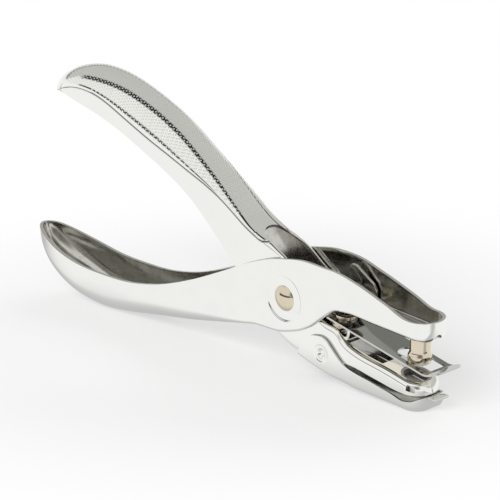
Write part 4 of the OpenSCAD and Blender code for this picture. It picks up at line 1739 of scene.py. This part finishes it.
@dataclass
class Studio:
    """Pale floor, soft boxes, sky and the camera at the photographed angle."""

    image_width_px: float = 500.0
    focal_px: float = 3573.0
    sensor_mm: float = 36.0
    eye: Point = (596.535, -605.629, 309.081)
    right: Point = (0.706796, 0.707107, -0.020977)
    up: Point = (-0.219737, 0.247634, 0.943606)
    back: Point = (0.672425, -0.662327, 0.330404)

    white_wall: str = "#F6F6F4"
    room: tuple[RoomPatch, ...] = (CEILING, GAP, BACK_LEFT, HORIZON, CAMERA_SIDE)
    gap_lean: float = -0.55
    even_light: float = 0.42
    aim: Point = (0.0, 0.0, 0.03)

    floor_m: float = 6.0
    fibre_mm: float = 2.5
    shadow_reach: tuple[float, float] = (0.05, 0.13)
    shadow_glow: float = 0.5
    # Painted shadow in the floor's reflections: its reach across Y from the punch, and the glow within
    # and beyond it.
    painted_shadow_reach: tuple[float, float] = (0.003, 0.024)
    painted_shadow_glow: tuple[float, float] = (0.55, 0.96)

    def camera(self) -> None:
        """Stand the camera where the photograph was taken."""
        lens = bpy.data.cameras.new("camera")
        lens.sensor_width = self.sensor_mm
        lens.lens = self.focal_px / self.image_width_px * self.sensor_mm
        lens.clip_start = 0.05
        lens.clip_end = 20.0
        camera = bpy.data.objects.new("camera", lens)
        bpy.context.scene.collection.objects.link(camera)
        turn = Matrix((self.right, self.up, self.back)).transposed().to_4x4()
        camera.matrix_world = Matrix.Translation(place(*self.eye)) @ turn
        bpy.context.scene.camera = camera

    def soft_box(self, name: str, spot: Point, size: tuple[float, float], watts: float) -> None:
        """Hang a soft box, which lights the floor but is left out of the metal's reflections.

        Args:
            name: its name.
            spot: where it hangs, in metres.
            size: its width and height in metres.
            watts: its power.
        """
        lamp = bpy.data.lights.new(name, "AREA")
        lamp.shape = "RECTANGLE"
        lamp.size, lamp.size_y = size
        lamp.energy = watts
        box = bpy.data.objects.new(name, lamp)
        bpy.context.scene.collection.objects.link(box)
        box.location = spot
        box.rotation_euler = (Vector(self.aim) - Vector(spot)).to_track_quat("-Z", "Y").to_euler()
        box.visible_glossy = False

    @staticmethod
    def seen_by_mirrors(tree: bpy.types.NodeTree) -> bpy.types.NodeSocket:
        """1 for rays of the camera, of reflections and of transmission, 0 for diffuse light."""
        rays = add_node(tree, "ShaderNodeLightPath")
        seen = rays.outputs["Is Camera Ray"]
        for kind in ("Is Glossy Ray", "Is Transmission Ray"):
            seen = add_node(tree, "ShaderNodeMath", {"operation": "MAXIMUM"}, {
                0: seen, 1: rays.outputs[kind]}).outputs["Value"]
        return seen

    def measures(self, tree: bpy.types.NodeTree) -> dict[str, bpy.types.NodeSocket]:
        """Measure the direction in which the sky is seen.

        Args:
            tree: the world's node tree.

        Returns:
            By name, its three parts, its Y less a share of how far it points ahead, and how far
            it points toward the camera.
        """
        way = add_node(tree, "ShaderNodeTexCoord").outputs["Generated"]
        axes = add_node(tree, "ShaderNodeSeparateXYZ", None, {"Vector": way}).outputs
        ahead = add_node(tree, "ShaderNodeMath", {"operation": "MAXIMUM"}, {
            0: axes["X"], 1: 0.0}).outputs["Value"]
        leaning = add_node(tree, "ShaderNodeMath", {"operation": "MULTIPLY_ADD"}, {
            0: ahead, 1: self.gap_lean, 2: axes["Y"]}).outputs["Value"]
        camera = add_node(tree, "ShaderNodeVectorMath", {"operation": "DOT_PRODUCT"}, {
            0: way, 1: self.back}).outputs["Value"]
        return {"X": axes["X"], "Y": axes["Y"], "Z": axes["Z"], "leaning Y": leaning,
                "camera": camera}

    def sky(self) -> None:
        """Light the room evenly, and show the metal a white wall with the patches of the room in it."""
        world = bpy.data.worlds.new("studio")
        bpy.context.scene.world = world
        world.use_nodes = True
        tree = world.node_tree
        tree.nodes.clear()
        measures = self.measures(tree)
        tone = linear(self.white_wall)
        for patch in self.room:
            mask = 1.0
            for measure, outside, inside in patch.edges:
                edge = add_node(tree, "ShaderNodeMapRange", {"interpolation_type": "SMOOTHSTEP"}, {
                    "Value": measures[measure], "From Min": outside, "From Max": inside,
                }).outputs["Result"]
                mask = add_node(tree, "ShaderNodeMath", {"operation": "MULTIPLY"}, {
                    0: mask, 1: edge}).outputs["Value"]
            tone = add_node(tree, "ShaderNodeMix", {"data_type": "RGBA"}, {
                "Factor": mask, 6: tone, 7: linear(patch.colour)}).outputs[2]
        mirrored = add_node(tree, "ShaderNodeBackground", None, {"Color": tone, "Strength": 1.0})
        even = add_node(tree, "ShaderNodeBackground", None, {
            "Color": linear("#FFFFFF"), "Strength": self.even_light})
        both = add_node(tree, "ShaderNodeMixShader", None, {
            "Fac": self.seen_by_mirrors(tree), 1: even.outputs["Background"],
            2: mirrored.outputs["Background"],
        })
        add_node(tree, "ShaderNodeOutputWorld", None, {"Surface": both.outputs["Shader"]})

    def floor(self) -> None:
        """Lay a white floor that keeps the soft shadow of the punch and is pure white beyond, with a
        painted shadow near the punch in its reflections.
        """
        deselect_all()
        bpy.ops.mesh.primitive_plane_add(size=self.floor_m, location=(0.0, 0.0, 0.0))
        floor = newly_added("studio_floor")
        made = bpy.data.materials.new("matt_white_paper")
        made.use_nodes = True
        tree = made.node_tree
        tree.nodes.clear()
        where = add_node(tree, "ShaderNodeTexCoord").outputs["Object"]
        # The paper's fibres are 2.5 mm apart. Real ones are finer, and wouldn't show at all.
        fibres = add_node(tree, "ShaderNodeTexNoise", None, {
            "Vector": where, "Scale": 1 / (self.fibre_mm * MM), "Detail": 2.0})
        tone = add_node(tree, "ShaderNodeMix", {"data_type": "RGBA"}, {
            "Factor": fibres.outputs["Fac"], 6: linear("#FAFAFA"), 7: linear("#F7F7F6")})
        paper = add_node(tree, "ShaderNodeBsdfDiffuse", None, {"Color": tone.outputs[2]})
        glow = add_node(tree, "ShaderNodeEmission", None, {
            "Color": linear("#FFFFFF"), "Strength": 1.0})
        # The glow is strongest out of the shadow's reach.
        from_middle = add_node(tree, "ShaderNodeVectorMath", {"operation": "LENGTH"}, {
            0: where}).outputs["Value"]
        open_floor = add_node(tree, "ShaderNodeMapRange", {"interpolation_type": "SMOOTHSTEP"}, {
            "Value": from_middle, "From Min": self.shadow_reach[0],
            "From Max": self.shadow_reach[1], "To Min": self.shadow_glow, "To Max": 1.0,
        }).outputs["Result"]
        share = add_node(tree, "ShaderNodeMath", {"operation": "MULTIPLY"}, {
            0: self.seen_by_mirrors(tree), 1: open_floor}).outputs["Value"]
        seen = add_node(tree, "ShaderNodeMixShader", None, {
            "Fac": share, 1: paper.outputs["BSDF"], 2: glow.outputs["Emission"]})
        # Painted shadow: reflections show the floor's glow dimmed close to the punch, standing in for
        # the light that the punch keeps off it.
        aside = add_node(tree, "ShaderNodeSeparateXYZ", None, {"Vector": where}).outputs["Y"]
        away = add_node(tree, "ShaderNodeMath", {"operation": "ABSOLUTE"}, {
            0: aside}).outputs["Value"]
        dim = add_node(tree, "ShaderNodeMapRange", {"interpolation_type": "SMOOTHSTEP"}, {
            "Value": away, "From Min": self.painted_shadow_reach[0], "From Max": self.painted_shadow_reach[1],
            "To Min": self.painted_shadow_glow[0], "To Max": self.painted_shadow_glow[1],
        }).outputs["Result"]
        mirrored = add_node(tree, "ShaderNodeEmission", None, {
            "Color": linear("#FFFFFF"), "Strength": dim})
        rays = add_node(tree, "ShaderNodeLightPath")
        mixed = add_node(tree, "ShaderNodeMixShader", None, {
            "Fac": rays.outputs["Is Glossy Ray"], 1: seen.outputs["Shader"],
            2: mirrored.outputs["Emission"],
        })
        add_node(tree, "ShaderNodeOutputMaterial", None, {"Surface": mixed.outputs["Shader"]})
        floor.data.materials.append(made)

    def build(self) -> None:
        """Set up the whole studio."""
        bpy.context.scene.view_settings.view_transform = "Standard"
        self.camera()
        self.sky()
        self.floor()
        self.soft_box("front_soft_box", spot=(0.1, -1.1, 0.95), size=(1.1, 0.8), watts=13.0)
        self.soft_box("back_soft_box", spot=(-0.4, 1.3, 0.85), size=(1.2, 0.6), watts=6.0)


# The whole punch.


def main() -> None:
    """Build every piece in order, dress it and let it ride on its body."""
    logging.basicConfig(level=logging.INFO, format="%(name)s: %(message)s")
    Studio().build()
    inner = InnerLever()
    pieces = (
        OuterLever(), inner, PaperStop(), GripKnurl(PadOutline(inner.channel())),
        ReturnSpring(), PivotRivet(), PunchPin(), DieBush(), SpringCup(), SpringSeat(),
        StripperPlate(), ChipTray(), ThumbLip(),
    )
    for piece in pieces:
        piece.add()

    for node, finish in (("pivot_spacer", DIE_STEEL), ("seat_rivet", WARM_NICKEL)):
        carried = frame["nodes"][node]
        carried.data.materials.clear()
        dress(carried, finish)
        log.info("%s: carried over from the frame", node)


if __name__ == "__main__":
    main()
